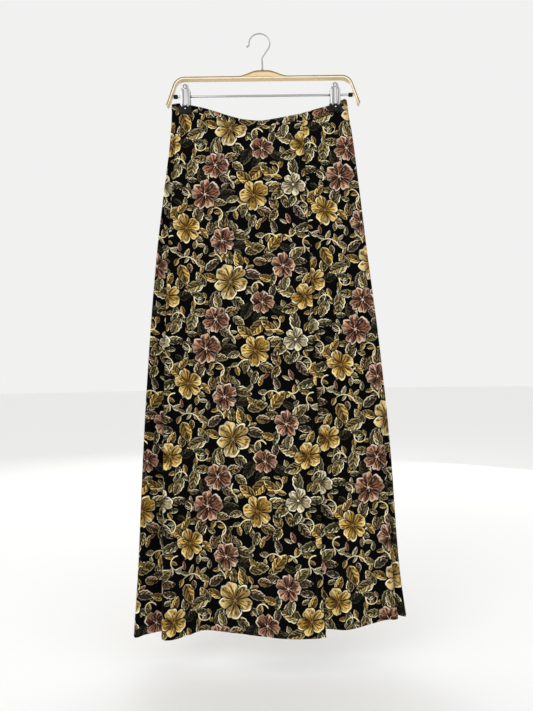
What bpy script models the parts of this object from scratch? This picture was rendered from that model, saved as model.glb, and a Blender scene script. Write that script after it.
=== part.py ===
"""A wrap maxi skirt hanging from the two clips of a wooden trouser hanger.

The sizes are in millimetres, made metres by MM when a mesh is built. +Z is up and the skirt's front
faces -Y. The origin is the inside of the hanger's hook, at its top, where a rail would carry it.
The cloth is one long run: the over wrap from its free edge at the front, round the left side,
across the back, round the right side, and the under wrap behind the over wrap to its own free edge.
"""

import math

import bmesh
import bpy
import numpy as np

MM = 0.001
GAP = 0.3
SEAM_CUT = 0.2  # what each panel gives up at a side seam, where the cloth bends round
BAND_SEAM = 0.45  # between a band and its panel, which lean towards each other at the sides

# Cloth
WALL = 1.2
BAND_WALL = 1.6
BAND_HEIGHT = 12.0
FLAT_ZONE = 24.0  # below the waist edge, as far as the clips hold the cloth flat
LAP_STEP = 2.3  # how far in front of the under wrap the over wrap lies at the waist
LAP_FROM, LAP_TO = -122.0, -104.0  # the over wrap steps forward between these places

# Gathers of the back waistband
GATHER_HALF_SPAN = 100.0
GATHER_END = 12.0  # over which the gathers die away at each end of the span
GATHER_PITCH = 9.1
GATHER_DEPTH = 1.1
GATHER_RISE = 0.7
GATHER_FADE = 95.0  # how far down the panel they reach

# Where the two sides of the skirt stand, seen from the front.
SIDES = (
    # height, left, right
    (-120.0, -170.0, 161.5),
    (-150.0, -170.8, 165.0),
    (-205.0, -174.0, 173.0),
    (-290.0, -184.0, 182.0),
    (-420.0, -199.0, 195.0),
    (-600.0, -213.5, 213.5),
    (-800.0, -225.0, 229.0),
    (-1000.0, -234.0, 238.5),
    (-1120.0, -241.0, 251.0),
)

# The waist edge: how high it is, and how far from the hanger's plane each layer lies there.
WAIST = (
    # place, front height, back height, front depth, back depth
    (-172.0, -136.4, -136.4, -1.2, 1.2),
    (-156.0, -134.6, -134.6, -1.2, 1.2),
    (-132.0, -139.2, -139.0, -1.2, 1.2),
    (-106.0, -147.0, -146.5, -2.6, 2.0),
    (-74.0, -158.8, -156.0, -5.0, 4.0),
    (-36.0, -171.0, -163.5, -7.0, 5.6),
    (0.0, -174.4, -166.2, -7.6, 6.2),
    (36.0, -168.4, -162.6, -7.0, 5.6),
    (76.0, -160.0, -154.8, -4.6, 3.8),
    (106.0, -149.8, -147.0, -2.4, 2.0),
    (128.0, -143.0, -142.0, -1.2, 1.2),
    (152.0, -133.6, -133.6, -1.2, 1.2),
    (160.0, -130.0, -130.0, -1.2, 1.2),
    (166.0, -133.0, -133.0, -1.2, 1.2),
)

# Each row is a line that runs down the cloth: the crest, trough or turn of a fold.
OVER_LINES = (
    # place at waist, place at hem, depth at hem, start, rate
    (75.6, 101.5, -28.0, 0.0, 1.0),
    (52.0, 78.0, -30.0, 0.0, 1.0),
    (26.0, 42.0, -31.0, 0.0, 1.0),
    (-2.0, 4.0, -23.0, 0.0, 1.0),
    (-32.0, -34.0, -13.0, 0.0, 1.0),
    (-62.0, -68.0, -3.0, 0.0, 1.0),
    (-88.0, -97.0, 5.5, 0.0, 1.0),
    (-110.0, -122.0, 7.0, 0.0, 1.0),
    (-130.0, -146.0, -12.0, 0.0, 1.0),
    (-148.0, -168.0, -28.0, 0.0, 0.8),
    (-160.0, -184.0, -31.5, 0.0, 0.6),
    (-164.8, -191.0, -27.5, 0.0, 0.6),
    (-165.6, -185.0, -20.0, 0.0, 0.6),
    (-166.3, -178.0, -10.0, 0.0, 0.6),
    (-167.0, -181.0, -1.5, 0.0, 0.6),
    (-167.7, -198.0, -1.5, 0.0, 0.6),
    (-168.4, -222.0, -14.0, 0.0, 0.8),
    (-169.2, -236.5, -27.5, 0.0, 0.9),
)
LEFT_SIDE = (-170.6, -241.0, -24.0, 0.0, 0.9)
BACK_LINES = (
    (-167.4, -236.5, -13.5, 0.0, 0.9),
    (-158.0, -224.0, 4.0, 0.0, 0.9),
    (-136.0, -194.0, 15.0, 0.0, 1.0),
    (-102.0, -148.0, 24.0, 0.0, 1.0),
    (-68.0, -98.0, 14.0, 0.0, 1.0),
    (-34.0, -50.0, 25.0, 0.0, 1.0),
    (0.0, 0.0, 17.0, 0.0, 1.0),
    (34.0, 48.0, 27.0, 0.0, 1.0),
    (68.0, 98.0, 16.0, 0.0, 1.0),
    (102.0, 146.0, 26.0, 0.0, 1.0),
    (134.0, 192.0, 17.0, 0.0, 1.0),
    (150.0, 226.0, 18.0, 0.0, 1.0),
    (160.4, 245.5, 5.0, 0.1, 1.0),
)
RIGHT_SIDE = (163.6, 251.0, -6.5, 0.3, 1.0)
UNDER_LINES = (
    (162.2, 247.5, -10.5, 0.5, 1.0),
    (161.4, 239.0, -4.0, 0.6, 1.0),
    (160.6, 231.0, 3.0, 0.6, 1.0),
    (159.8, 225.5, -0.5, 0.6, 1.0),
    (159.0, 228.0, -7.5, 0.6, 1.0),
    (158.2, 235.0, -13.0, 0.4, 1.0),
    (156.0, 229.0, -17.5, 0.1, 1.0),
    (148.0, 213.0, -10.5, 0.0, 1.0),
    (130.0, 188.0, -13.0, 0.0, 1.0),
    (112.0, 160.0, -20.0, 0.0, 1.0),
    (96.0, 138.0, -24.5, 0.0, 1.0),
    (80.0, 113.0, -17.0, 0.0, 1.0),
    (58.0, 88.0, -16.0, 0.0, 1.0),
    (30.0, 52.0, -20.0, 0.0, 1.0),
    (-2.0, 12.0, -14.0, 0.0, 1.0),
    (-36.0, -30.0, -5.0, 0.0, 1.0),
    (-68.0, -62.0, 3.0, 0.0, 1.0),
    (-98.0, -88.0, 10.5, 0.0, 1.0),
)

# How low the hem hangs along each panel, from the first line of its table to the last.
OVER_HEM = ((0.0, -1126.0), (0.5, -1124.0), (1.0, -1119.5))
BACK_HEM = ((0.0, -1119.5), (0.5, -1113.0), (1.0, -1098.0))
UNDER_HEM = ((0.0, -1098.0), (0.35, -1099.0), (0.6, -1114.0), (1.0, -1118.0))

# Hanger
HANGER_X = 4.0
WIRE_R = 1.3
HOOK_R = 20.0
HOOK_CENTRE = (-2.0, -20.0 + WIRE_R)
HOOK_TIP_ANGLE = 190.0
HOOK_NECK_ANGLE = -42.0
STEM_X = 3.0
STEM_TOP, STEM_BOTTOM = -47.0, -72.2
FERRULE_SCALE = 1.5
BALL_SCALE = 1.7

BAR_TOP = -83.5
BAR_THICKNESS = 6.6
BAR_DEPTH = 12.6
BAR_ARC_X = 150.3
BAR_OUTER_R = 24.0
BAR_SPLAY = math.radians(19.0)
BAR_FOOT = -139.0
BAR_EDGE = 1.4
HUMP_RISE = 11.0
HUMP_FLAT, HUMP_REACH = 8.0, 48.0

ROD_Z = -121.3
ROD_R = 2.2
CAP_R, CAP_LENGTH = 3.8, 8.0
CAP_OUT = 171.6

CLIP_CENTRES = {"left": -144.6, "right": 141.6}
CLIP_TOP, CLIP_BOTTOM = -98.4, -141.0
CLIP_WIDTH, TAB_WIDTH = 19.6, 13.0
CLIP_DEPTH, CLIP_SHEET = 13.0, 1.0
SHOULDER_TOP, SHOULDER_LOW = -106.0, -112.0
CHEEK_END = -128.0
EYE_R = 3.1
CUT_PAST = 3.0  # how far a cutter reaches past what it cuts
JAW_WIDTH, JAW_HEIGHT, JAW_DEPTH = 24.0, 15.4, 4.9
WAIST_DEPTH = 1.2  # of each layer from the hanger's plane, where the clips press the waist
JAW_FACE = WAIST_DEPTH + BAND_WALL / 2 + GAP  # where the rubber meets the waistband
JAW_ROUND = 1.3

# Mesh
PANEL_ROWS = 15
ROW_SPREAD = 1.2  # above 1 the rows crowd towards the waist
STEPS_PER_LINE = 2


def material(name, colour, roughness, metallic=0.0):
    made = bpy.data.materials.new(name)
    made.use_nodes = True
    shader = made.node_tree.nodes["Principled BSDF"]
    shader.inputs["Base Color"].default_value = (*colour, 1.0)
    shader.inputs["Roughness"].default_value = roughness
    shader.inputs["Metallic"].default_value = metallic
    return made


def through(points, at):
    """The smooth curve through (place, value) rows, read at these places, with no overshoot."""
    rows = np.array(points, float)
    x, y = rows[:, 0], rows[:, 1]
    step = np.diff(x)
    slope = np.diff(y) / step
    tangent = np.zeros(len(x))
    same_way = slope[:-1] * slope[1:] > 0
    mean = 2 * slope[:-1] * slope[1:] / np.where(same_way, slope[:-1] + slope[1:], 1.0)
    tangent[1:-1] = np.where(same_way, mean, 0.0)
    tangent[0], tangent[-1] = slope[0], slope[-1]
    at = np.clip(at, x[0], x[-1])
    i = np.clip(np.searchsorted(x, at, side="right") - 1, 0, len(x) - 2)
    t = (at - x[i]) / step[i]
    return (
        (2 * t**3 - 3 * t**2 + 1) * y[i]
        + (t**3 - 2 * t**2 + t) * step[i] * tangent[i]
        + (3 * t**2 - 2 * t**3) * y[i + 1]
        + (t**3 - t**2) * step[i] * tangent[i + 1]
    )


def column(table, index):
    return [(row[0], row[index]) for row in table]


def ease(value, low, high):
    t = np.clip((value - low) / (high - low), 0.0, 1.0)
    return t * t * (3 - 2 * t)


# The whole run of cloth, line by line, with what each line needs at the waist and at the hem.
RUN = (*OVER_LINES, LEFT_SIDE, *BACK_LINES, RIGHT_SIDE, *UNDER_LINES)
LEFT_AT = len(OVER_LINES)
RIGHT_AT = LEFT_AT + 1 + len(BACK_LINES)
SEAM_LEFT, SEAM_RIGHT = LEFT_AT + 1, RIGHT_AT - 1  # the side seams lie just behind the sides
LAST = len(RUN) - 1


def waist_of(places, layer):
    """Height and depth of the waist edge at these places, for one layer of cloth."""
    height_column, depth_column = (2, 4) if layer == "back" else (1, 3)
    height = through(column(WAIST, height_column), places)
    depth = through(column(WAIST, depth_column), places)
    if layer == "over":
        depth = depth - LAP_STEP * ease(places, LAP_FROM, LAP_TO)
    return height, depth


def run_lines():
    """Each line's place, height and depth at the waist, its place, depth and height at the hem, its
    start and its rate."""
    rows = np.array(RUN, float)
    place = rows[:, 0]
    height, depth, hem = np.zeros(len(rows)), np.zeros(len(rows)), np.zeros(len(rows))
    spans = (
        ("over", 0, LEFT_AT, OVER_HEM),
        ("back", SEAM_LEFT, SEAM_RIGHT, BACK_HEM),
        ("under", RIGHT_AT, LAST, UNDER_HEM),
    )
    for layer, first, last, hem_rows in spans:
        own = slice(first, last + 1)
        height[own], depth[own] = waist_of(place[own], layer)
        hem[own] = through(hem_rows, np.linspace(0.0, 1.0, last - first + 1))
    depth[[LEFT_AT, RIGHT_AT]] = 0.0
    return place, height, depth, rows[:, 1], rows[:, 2], hem, rows[:, 3], rows[:, 4]


def sides_at(height):
    return through(column(SIDES, 1)[::-1], height), through(column(SIDES, 2)[::-1], height)


def spread(values, at):
    """Values given line by line, read between lines by plain interpolation."""
    return np.interp(at, np.arange(len(values)), values)


def lines_at(share):
    """Each line's place and depth at this share of the way from the waist to the hem."""
    place, height, depth, hem_place, hem_depth, hem, start, rate = run_lines()
    z = height + (hem - height) * share
    flat = FLAT_ZONE / (height - hem)
    start = np.maximum(start, flat)
    grown = np.clip((share - start) / (1 - start), 0.0, 1.0) ** rate
    left, right = sides_at(height)
    hem_left, hem_right = sides_at(hem)
    at_waist = (place - left) / (right - left)
    at_hem = (hem_place - hem_left) / (hem_right - hem_left)
    left, right = sides_at(z)
    x = left + (at_waist + (at_hem - at_waist) * grown) * (right - left)
    y = depth + (hem_depth - depth) * grown
    return np.stack([x, y], 1)


def curve_through(points, at):
    """Smooth plane curve through the lines' points, read at fractional line numbers."""
    chord = np.sqrt(np.linalg.norm(np.diff(points, axis=0), axis=1)) + 1e-6
    knots = np.concatenate([[0.0], np.cumsum(chord)])
    velocity = np.diff(points, axis=0) / chord[:, None]
    tangent = np.empty_like(points)
    weight = (chord[1:] / (chord[1:] + chord[:-1]))[:, None]
    tangent[1:-1] = velocity[:-1] * weight + velocity[1:] * (1 - weight)
    tangent[0], tangent[-1] = velocity[0], velocity[-1]
    i = np.clip(np.floor(at).astype(int), 0, len(points) - 2)
    t = (at - i)[:, None]
    span = (knots[i + 1] - knots[i])[:, None]
    return (
        (2 * t**3 - 3 * t**2 + 1) * points[i]
        + (t**3 - 2 * t**2 + t) * span * tangent[i]
        + (3 * t**2 - 2 * t**3) * points[i + 1]
        + (t**3 - t**2) * span * tangent[i + 1]
    )


def gathers(places, drop, layer):
    """Depth and rise that the elastic adds to the back waist, in small waves."""
    if layer != "back":
        return np.zeros_like(places), np.zeros_like(places)
    wave = np.cos(2 * np.pi * places / GATHER_PITCH)
    inside = 1 - ease(np.abs(places), GATHER_HALF_SPAN - GATHER_END, GATHER_HALF_SPAN)
    fade = np.clip(1 - drop / GATHER_FADE, 0.0, 1.0) ** 1.5
    return GATHER_DEPTH * wave * inside * fade, GATHER_RISE * wave * inside * fade


def cloth_grid(at, drops, layer, trim):
    """Points of a stretch of cloth. at: fractional line numbers. drops: rows, as (mm below the waist
    edge, share of what is left down to the hem). trim: what is cut off the first and last line."""
    place, height, _, _, _, hem, _, _ = run_lines()
    places, tops, hems = spread(place, at), spread(height, at), spread(hem, at)
    grid = []
    for below, share in drops:
        z = (tops - below) + (hems - tops + below) * share
        down = (tops - z) / (tops - hems)
        sections = {level: curve_through(lines_at(level), at) for level in np.unique(down.round(9))}
        xy = np.array([sections[level][i] for i, level in enumerate(down.round(9))])
        for end, inward, cut in ((0, 1, trim[0]), (-1, -2, trim[1])):
            along = xy[inward] - xy[end]
            xy[end] = xy[end] + along / np.linalg.norm(along) * cut
        depth, rise = gathers(places, tops - z, layer)
        grid.append(np.stack([xy[:, 0], xy[:, 1] + depth, z + rise], 1))
    return np.array(grid)


def cloth(name, grid, wall, look):
    """A named wall of cloth: the open grid with half its thickness on each side."""
    rows, columns = grid.shape[:2]
    mesh = bpy.data.meshes.new(name)
    first = np.arange(rows * columns).reshape(rows, columns)
    faces = np.stack([first[:-1, :-1], first[1:, :-1], first[1:, 1:], first[:-1, 1:]], -1)
    mesh.from_pydata((grid.reshape(-1, 3) * MM).tolist(), [], faces.reshape(-1, 4).tolist())
    mesh.shade_smooth()
    made = add(name, mesh, look)
    shell = made.modifiers.new("wall", "SOLIDIFY")
    shell.thickness = wall * MM
    shell.offset = 0.0
    return made


def add(name, data, look):
    made = bpy.data.objects.new(name, data)
    made.data.materials.append(look)
    parts.objects.link(made)
    return made


def half_steps(first, last):
    return np.linspace(first, last, (last - first) * STEPS_PER_LINE + 1)


def back_columns(per_gather):
    """Line numbers for the back: finer where the elastic gathers it, so that each wave is drawn."""
    place = run_lines()[0][SEAM_LEFT : SEAM_RIGHT + 1]
    numbers = np.arange(SEAM_LEFT, SEAM_RIGHT + 1)
    count = int(GATHER_HALF_SPAN // (GATHER_PITCH / per_gather))
    waves = np.arange(-count, count + 1) * GATHER_PITCH / per_gather
    gathered = np.interp(waves, place, numbers)
    outside = half_steps(SEAM_LEFT, SEAM_RIGHT)
    outside = outside[(outside < gathered[0] - 0.1) | (outside > gathered[-1] + 0.1)]
    return np.sort(np.concatenate([outside, gathered]))


def skirt():
    over, under = half_steps(0, SEAM_LEFT), half_steps(SEAM_RIGHT, LAST)
    stretches = (
        ("over", "front_over_wrap", "waistband_over", over, over, (0.0, SEAM_CUT)),
        ("back", "back_panel", "waistband_back", back_columns(2), back_columns(4), (SEAM_CUT,) * 2),
        ("under", "front_under_wrap", "waistband_under", under, under, (SEAM_CUT, 0.0)),
    )
    panel_rows = [(BAND_HEIGHT + BAND_SEAM, 0.0)]
    panel_rows += [(FLAT_ZONE, share) for share in np.linspace(0.0, 1.0, PANEL_ROWS) ** ROW_SPREAD]
    band_rows = [(0.0, 0.0), (BAND_HEIGHT, 0.0)]
    for layer, panel, band, panel_at, band_at, trim in stretches:
        cloth(panel, cloth_grid(panel_at, panel_rows, layer, trim), WALL, PRINTED)
        cloth(band, cloth_grid(band_at, band_rows, layer, trim), BAND_WALL, BANDED)


def tube(name, route, radius, look, scales=None):
    """A round wire along a route of points."""
    data = bpy.data.curves.new(name, "CURVE")
    data.dimensions = "3D"
    data.bevel_depth = radius * MM
    data.bevel_resolution = 2
    data.use_fill_caps = True
    spline = data.splines.new("POLY")
    spline.points.add(len(route) - 1)
    for i, (point, (x, y, z)) in enumerate(zip(spline.points, route)):
        point.co = (x * MM, y * MM, z * MM, 1.0)
        point.radius = 1.0 if scales is None else scales[i]
    return add(name, data, look)


def hook():
    """The stem with its threaded ferrule, the round of the hook and the small ball at its tip."""
    cx, cz = HOOK_CENTRE
    arc = [
        (cx + HOOK_R * math.cos(a), 0.0, cz + HOOK_R * math.sin(a))
        for a in np.radians(np.linspace(HOOK_NECK_ANGLE, HOOK_TIP_ANGLE, 25))
    ]
    stem = [(STEM_X, 0.0, z) for z in (STEM_BOTTOM, -56.0, -54.5, STEM_TOP)]
    stem_scale = [FERRULE_SCALE, FERRULE_SCALE, 1.0, 1.0]
    tip_x, _, tip_z = arc[-1]
    ball = [(tip_x - d, 0.0, tip_z - 0.6 * d) for d in (2.0, 3.2, 4.6, 6.0, 7.2)]
    ball_scale = [1.0, BALL_SCALE * 0.8, BALL_SCALE, BALL_SCALE * 0.85, 0.5]
    tube("hanger_hook", stem + arc + ball, WIRE_R, STEEL, stem_scale + [1.0] * len(arc) + ball_scale)


def bar_outline():
    """The bent bar seen from the front: straight top with a raised middle, two bends, two splayed feet."""
    inner_r = BAR_OUTER_R - BAR_THICKNESS
    centre_z = BAR_TOP - BAR_OUTER_R
    turn = np.linspace(math.pi / 2, BAR_SPLAY, 9)
    down = np.array([math.sin(BAR_SPLAY), -math.cos(BAR_SPLAY)])
    out = np.array([math.cos(BAR_SPLAY), math.sin(BAR_SPLAY)])
    centre = np.array([BAR_ARC_X, centre_z])
    leg = (centre_z + inner_r * out[1] - BAR_FOOT) / -down[1]
    heel = centre + out * (inner_r + BAR_THICKNESS / 2) + down * leg
    end = np.linspace(0.0, math.pi, 7)
    humps = np.linspace(0.0, HUMP_REACH, 12)
    rise = HUMP_RISE * (1 - ease(humps, HUMP_FLAT, HUMP_REACH))
    half = [(x, BAR_TOP + dz) for x, dz in zip(humps, rise)]
    half += [tuple(centre + BAR_OUTER_R * np.array([math.cos(a), math.sin(a)])) for a in turn]
    half += [
        tuple(heel + BAR_THICKNESS / 2 * (out * math.cos(a) + down * math.sin(a))) for a in end
    ]
    half += [tuple(centre + inner_r * np.array([math.cos(a), math.sin(a)])) for a in turn[::-1]]
    mirrored = [(-x, z) for x, z in half[::-1]]
    return half + mirrored[:-1]


def plate(name, outline, depth, edge, look, at=(0.0, 0.0)):
    """A flat outline in the XZ plane, with thickness along Y and rounded edges."""
    data = bpy.data.curves.new(name, "CURVE")
    data.dimensions = "2D"
    data.fill_mode = "BOTH"
    data.extrude = (depth / 2 - edge) * MM
    data.bevel_depth = edge * MM
    data.bevel_resolution = 1
    data.offset = -edge * MM
    spline = data.splines.new("POLY")
    spline.points.add(len(outline) - 1)
    spline.use_cyclic_u = True
    for point, (x, z) in zip(spline.points, outline):
        point.co = (x * MM, z * MM, 0.0, 1.0)
    made = add(name, data, look)
    made.rotation_euler = (math.pi / 2, 0.0, 0.0)
    made.location = (at[0] * MM, at[1] * MM, 0.0)
    return made


def rod(name, low, high, radius, look):
    """A round bar along X at the rod's height."""
    mesh = bpy.data.meshes.new(name)
    shape = bmesh.new()
    bmesh.ops.create_cone(
        shape,
        cap_ends=True,
        segments=16,
        radius1=radius * MM,
        radius2=radius * MM,
        depth=(high - low) * MM,
    )
    shape.to_mesh(mesh)
    shape.free()
    made = add(name, mesh, look)
    made.rotation_euler = (0.0, math.pi / 2, 0.0)
    made.location = ((low + high) / 2 * MM, 0.0, ROD_Z * MM)
    return made


def clip_outline(shrink):
    """The clip seen from the front: a rounded tab, sloping shoulders and straight sides."""
    tab, body = TAB_WIDTH / 2 - shrink, CLIP_WIDTH / 2 - shrink
    dome = CLIP_TOP - TAB_WIDTH / 2
    arc = [
        (tab * math.cos(a), dome + tab * math.sin(a)) for a in np.linspace(0.0, math.pi, 11)
    ]
    low = CLIP_BOTTOM
    right = [(body, low), (body, SHOULDER_LOW), (tab, SHOULDER_TOP)]
    if shrink:  # the cheeks end above the waistband, which goes up between the two halves
        wide = CLIP_WIDTH / 2 + CUT_PAST
        right = [(wide, low - CUT_PAST), (wide, CHEEK_END), (body, CHEEK_END), *right[1:]]
    left = [(-x, z) for x, z in right[::-1]]
    return right + arc + left


def prism(name, outline, y_from, y_to):
    """A solid with this XZ outline between two depths."""
    shape = bmesh.new()
    ring = [shape.verts.new((x * MM, y_from * MM, z * MM)) for x, z in outline]
    face = shape.faces.new(ring)
    grown = bmesh.ops.extrude_face_region(shape, geom=[face])
    moved = [item for item in grown["geom"] if isinstance(item, bmesh.types.BMVert)]
    bmesh.ops.translate(shape, verts=moved, vec=(0.0, (y_to - y_from) * MM, 0.0))
    bmesh.ops.recalc_face_normals(shape, faces=shape.faces)
    mesh = bpy.data.meshes.new(name)
    shape.to_mesh(mesh)
    shape.free()
    return mesh


def cutter(name, mesh, location=(0.0, 0.0, 0.0), rotation=(0.0, 0.0, 0.0)):
    made = bpy.data.objects.new(name, mesh)
    made.location = location
    made.rotation_euler = rotation
    made.hide_render = True
    made.display_type = "WIRE"
    cutters.objects.link(made)
    return made


def drill(name, radius, length, location, rotation):
    mesh = bpy.data.meshes.new(name)
    shape = bmesh.new()
    bmesh.ops.create_cone(
        shape,
        cap_ends=True,
        segments=16,
        radius1=radius * MM,
        radius2=radius * MM,
        depth=length * MM,
    )
    shape.to_mesh(mesh)
    shape.free()
    return cutter(name, mesh, location, rotation)


def cut(piece, tool):
    hole = piece.modifiers.new(tool.name, "BOOLEAN")
    hole.operation = "DIFFERENCE"
    hole.object = tool


def clip(side, centre):
    """Two pressed steel halves that close round the rod, and the rubber jaws that hold the waistband."""
    half_depth = CLIP_DEPTH / 2
    rod_hole = drill(
        f"rod_hole_{side}",
        ROD_R + GAP,
        CLIP_WIDTH * 2,
        (centre * MM, 0.0, ROD_Z * MM),
        (0.0, math.pi / 2, 0.0),
    )
    eye = drill(
        f"eye_{side}",
        EYE_R,
        CLIP_DEPTH * 2,
        (centre * MM, 0.0, (CLIP_TOP - TAB_WIDTH / 2) * MM),
        (math.pi / 2, 0.0, 0.0),
    )
    for face, sign in (("front", -1), ("back", 1)):
        name = f"clip_{side}_{face}"
        shell = add(name, prism(name, clip_outline(0.0), sign * GAP / 2, sign * half_depth), CHROME)
        hollow = prism(
            f"{name}_hollow", clip_outline(CLIP_SHEET), -sign * CUT_PAST, sign * (half_depth - CLIP_SHEET)
        )
        inside = cutter(f"{name}_hollow", hollow, (centre * MM, 0.0, 0.0))
        shell.location = (centre * MM, 0.0, 0.0)
        for tool in (inside, rod_hole, eye):
            cut(shell, tool)
        jaw(f"clip_{side}_jaw_{face}", centre, sign)


def jaw(name, centre, sign):
    mesh = bpy.data.meshes.new(name)
    shape = bmesh.new()
    bmesh.ops.create_cube(shape, size=1.0)
    bmesh.ops.scale(
        shape, verts=shape.verts, vec=(JAW_WIDTH * MM, JAW_DEPTH * MM, JAW_HEIGHT * MM)
    )
    shape.to_mesh(mesh)
    shape.free()
    made = add(name, mesh, RUBBER)
    made.location = (
        centre * MM,
        sign * (JAW_FACE + JAW_DEPTH / 2) * MM,
        (CLIP_BOTTOM - GAP - JAW_HEIGHT / 2) * MM,
    )
    rounded = made.modifiers.new("rounded", "BEVEL")
    rounded.width = JAW_ROUND * MM
    rounded.segments = 2


def hanger():
    hook()
    plate("hanger_bar", bar_outline(), BAR_DEPTH, BAR_EDGE, WOOD, (HANGER_X, 0.0))
    cap_in = CAP_OUT - CAP_LENGTH
    rod("hanger_rod", HANGER_X - cap_in + GAP, HANGER_X + cap_in - GAP, ROD_R, CHROME)
    rod("rod_cap_left", HANGER_X - CAP_OUT, HANGER_X - cap_in, CAP_R, RUBBER)
    rod("rod_cap_right", HANGER_X + cap_in, HANGER_X + CAP_OUT, CAP_R, RUBBER)
    for side, centre in CLIP_CENTRES.items():
        clip(side, centre)


for old in list(bpy.data.objects):
    bpy.data.objects.remove(old)

parts = bpy.data.collections.new("wrap_maxi_skirt")
cutters = bpy.data.collections.new("cutters")
bpy.context.scene.collection.children.link(parts)
bpy.context.scene.collection.children.link(cutters)

PRINTED = material("printed_cloth", (0.075, 0.058, 0.032), 0.85)
BANDED = material("waistband_cloth", (0.075, 0.058, 0.032), 0.85)
WOOD = material("pale_wood", (0.72, 0.54, 0.30), 0.45)
STEEL = material("hook_steel", (0.55, 0.55, 0.55), 0.3, 1.0)
CHROME = material("chrome", (0.8, 0.8, 0.8), 0.12, 1.0)
RUBBER = material("black_rubber", (0.02, 0.02, 0.02), 0.6)

skirt()
hanger()
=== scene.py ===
import bpy
import numpy as np
from mathutils import Matrix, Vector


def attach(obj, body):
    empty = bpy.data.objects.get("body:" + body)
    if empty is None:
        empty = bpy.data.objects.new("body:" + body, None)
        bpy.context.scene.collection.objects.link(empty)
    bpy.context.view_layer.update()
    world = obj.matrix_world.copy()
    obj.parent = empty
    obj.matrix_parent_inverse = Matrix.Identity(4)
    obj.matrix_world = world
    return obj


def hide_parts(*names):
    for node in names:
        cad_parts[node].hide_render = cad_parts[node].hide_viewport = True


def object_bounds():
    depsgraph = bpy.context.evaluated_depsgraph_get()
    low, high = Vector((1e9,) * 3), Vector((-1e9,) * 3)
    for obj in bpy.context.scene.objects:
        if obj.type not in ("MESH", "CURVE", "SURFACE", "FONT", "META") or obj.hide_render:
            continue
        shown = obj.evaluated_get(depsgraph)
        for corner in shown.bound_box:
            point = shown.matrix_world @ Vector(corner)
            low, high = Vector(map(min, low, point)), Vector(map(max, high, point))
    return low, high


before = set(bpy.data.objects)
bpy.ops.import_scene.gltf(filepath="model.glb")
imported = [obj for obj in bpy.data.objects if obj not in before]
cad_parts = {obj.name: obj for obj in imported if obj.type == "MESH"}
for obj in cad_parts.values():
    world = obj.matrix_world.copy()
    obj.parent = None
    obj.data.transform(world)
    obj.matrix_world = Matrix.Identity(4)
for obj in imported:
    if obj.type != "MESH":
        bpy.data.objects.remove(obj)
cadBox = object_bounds()
mm = 0.001

# formulas over a surface. The plain signs between fields, and the functions below, each add their own
# node to the fields' tree


class Field:
    # what a socket puts out, with the tree it is in
    def __init__(self, tree, socket):
        self.tree, self.socket = tree, socket

    def __add__(self, other):
        return calc("ADD", self, other)

    def __sub__(self, other):
        return calc("SUBTRACT", self, other)

    def __rsub__(self, other):
        return calc("SUBTRACT", other, self)

    def __mul__(self, other):
        return calc("MULTIPLY", self, other)

    def __truediv__(self, other):
        return calc("DIVIDE", self, other)

    __radd__, __rmul__ = __add__, __mul__


def plug(socket, value):
    # a link from a field, or a value that is the same all over
    if isinstance(value, Field):
        value.tree.links.new(value.socket, socket)
    else:
        socket.default_value = value


def addNode(tree, kind, values, out=0, **settings):
    # a node with its settings and its inputs, by name or number, and one of its outputs as a field
    node = tree.nodes.new("ShaderNode" + kind)
    for name, value in settings.items():
        setattr(node, name, value)
    for name, value in values.items():
        plug(node.inputs[name], value)
    return Field(tree, node.outputs[out])


def outputs(field):
    # every output of the node that a field comes from, by name
    return {socket.name: Field(field.tree, socket) for socket in field.socket.node.outputs}


def treeOf(values):
    # the tree of the first field among them
    return next(value.tree for value in values if isinstance(value, Field))


def calc(operation, *values):
    # one step of arithmetic
    return addNode(treeOf(values), "Math", dict(enumerate(values)), operation=operation)


def distance(x, y):
    # root of x^2 + y^2
    return calc("SQRT", x * x + y * y)


def ramp(value, low, high):
    # 0 at low, 1 at high, eased between them; low may be above high
    values = {"Value": value, "From Min": low, "From Max": high}
    return addNode(value.tree, "MapRange", values, interpolation_type="SMOOTHSTEP")


def layered(colour, *layers):
    # colours laid over a first one, each by its mask
    for mask, over in layers:
        tree = treeOf((mask, colour, over))
        colour = addNode(tree, "Mix", {0: mask, 6: colour, 7: over}, out=2, data_type="RGBA")
    return colour


def split(vector):
    # the three parts of a vector
    return outputs(addNode(vector.tree, "SeparateXYZ", {0: vector})).values()


def join(*values):
    # a vector of three parts
    return addNode(treeOf(values), "CombineXYZ", dict(enumerate(values)))


def noise(vector, scale, detail=2.0, roughness=0.5):
    # cloudy noise from 0 to 1 around a half
    values = {"Vector": vector, "Scale": scale, "Detail": detail, "Roughness": roughness}
    return addNode(vector.tree, "TexNoise", values)


def shifted(vector, amount):
    # a vector moved by ten times the amount along each axis
    move = amount * 10.0
    return addNode(vector.tree, "VectorMath", {0: vector, 1: join(move, move, move)}, operation="ADD")


def paint(red, green, blue):
    # linear colour of a colour given 0 to 255
    share = np.array([red, green, blue]) / 255
    linear = np.where(share <= 0.04045, share / 12.92, ((share + 0.055) / 1.055) ** 2.4)
    return (*linear.tolist(), 1.0)


def toneRamp(value, rows, interpolation="LINEAR"):
    # colours given at places from 0 to 1
    field = addNode(value.tree, "ValToRGB", {0: value})
    steps = field.socket.node.color_ramp
    steps.interpolation = interpolation
    while len(steps.elements) < len(rows):
        steps.elements.new(1.0)
    for element, (place, colour) in zip(steps.elements, rows):
        element.position, element.color = place, paint(*colour)
    return field


def chosen(code, colours):
    # one of several colours, by the whole part of the code, which starts at 1
    rows = [(number / len(colours), colour) for number, colour in enumerate(colours)]
    return toneRamp((code - 1.0) / float(len(colours)), rows, "CONSTANT")


def attribute(tree, name):
    return addNode(tree, "Attribute", {}, out="Vector", attribute_type="GEOMETRY", attribute_name=name)


def objectPlace(tree):
    return addNode(tree, "TexCoord", {}, out="Object")


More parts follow.
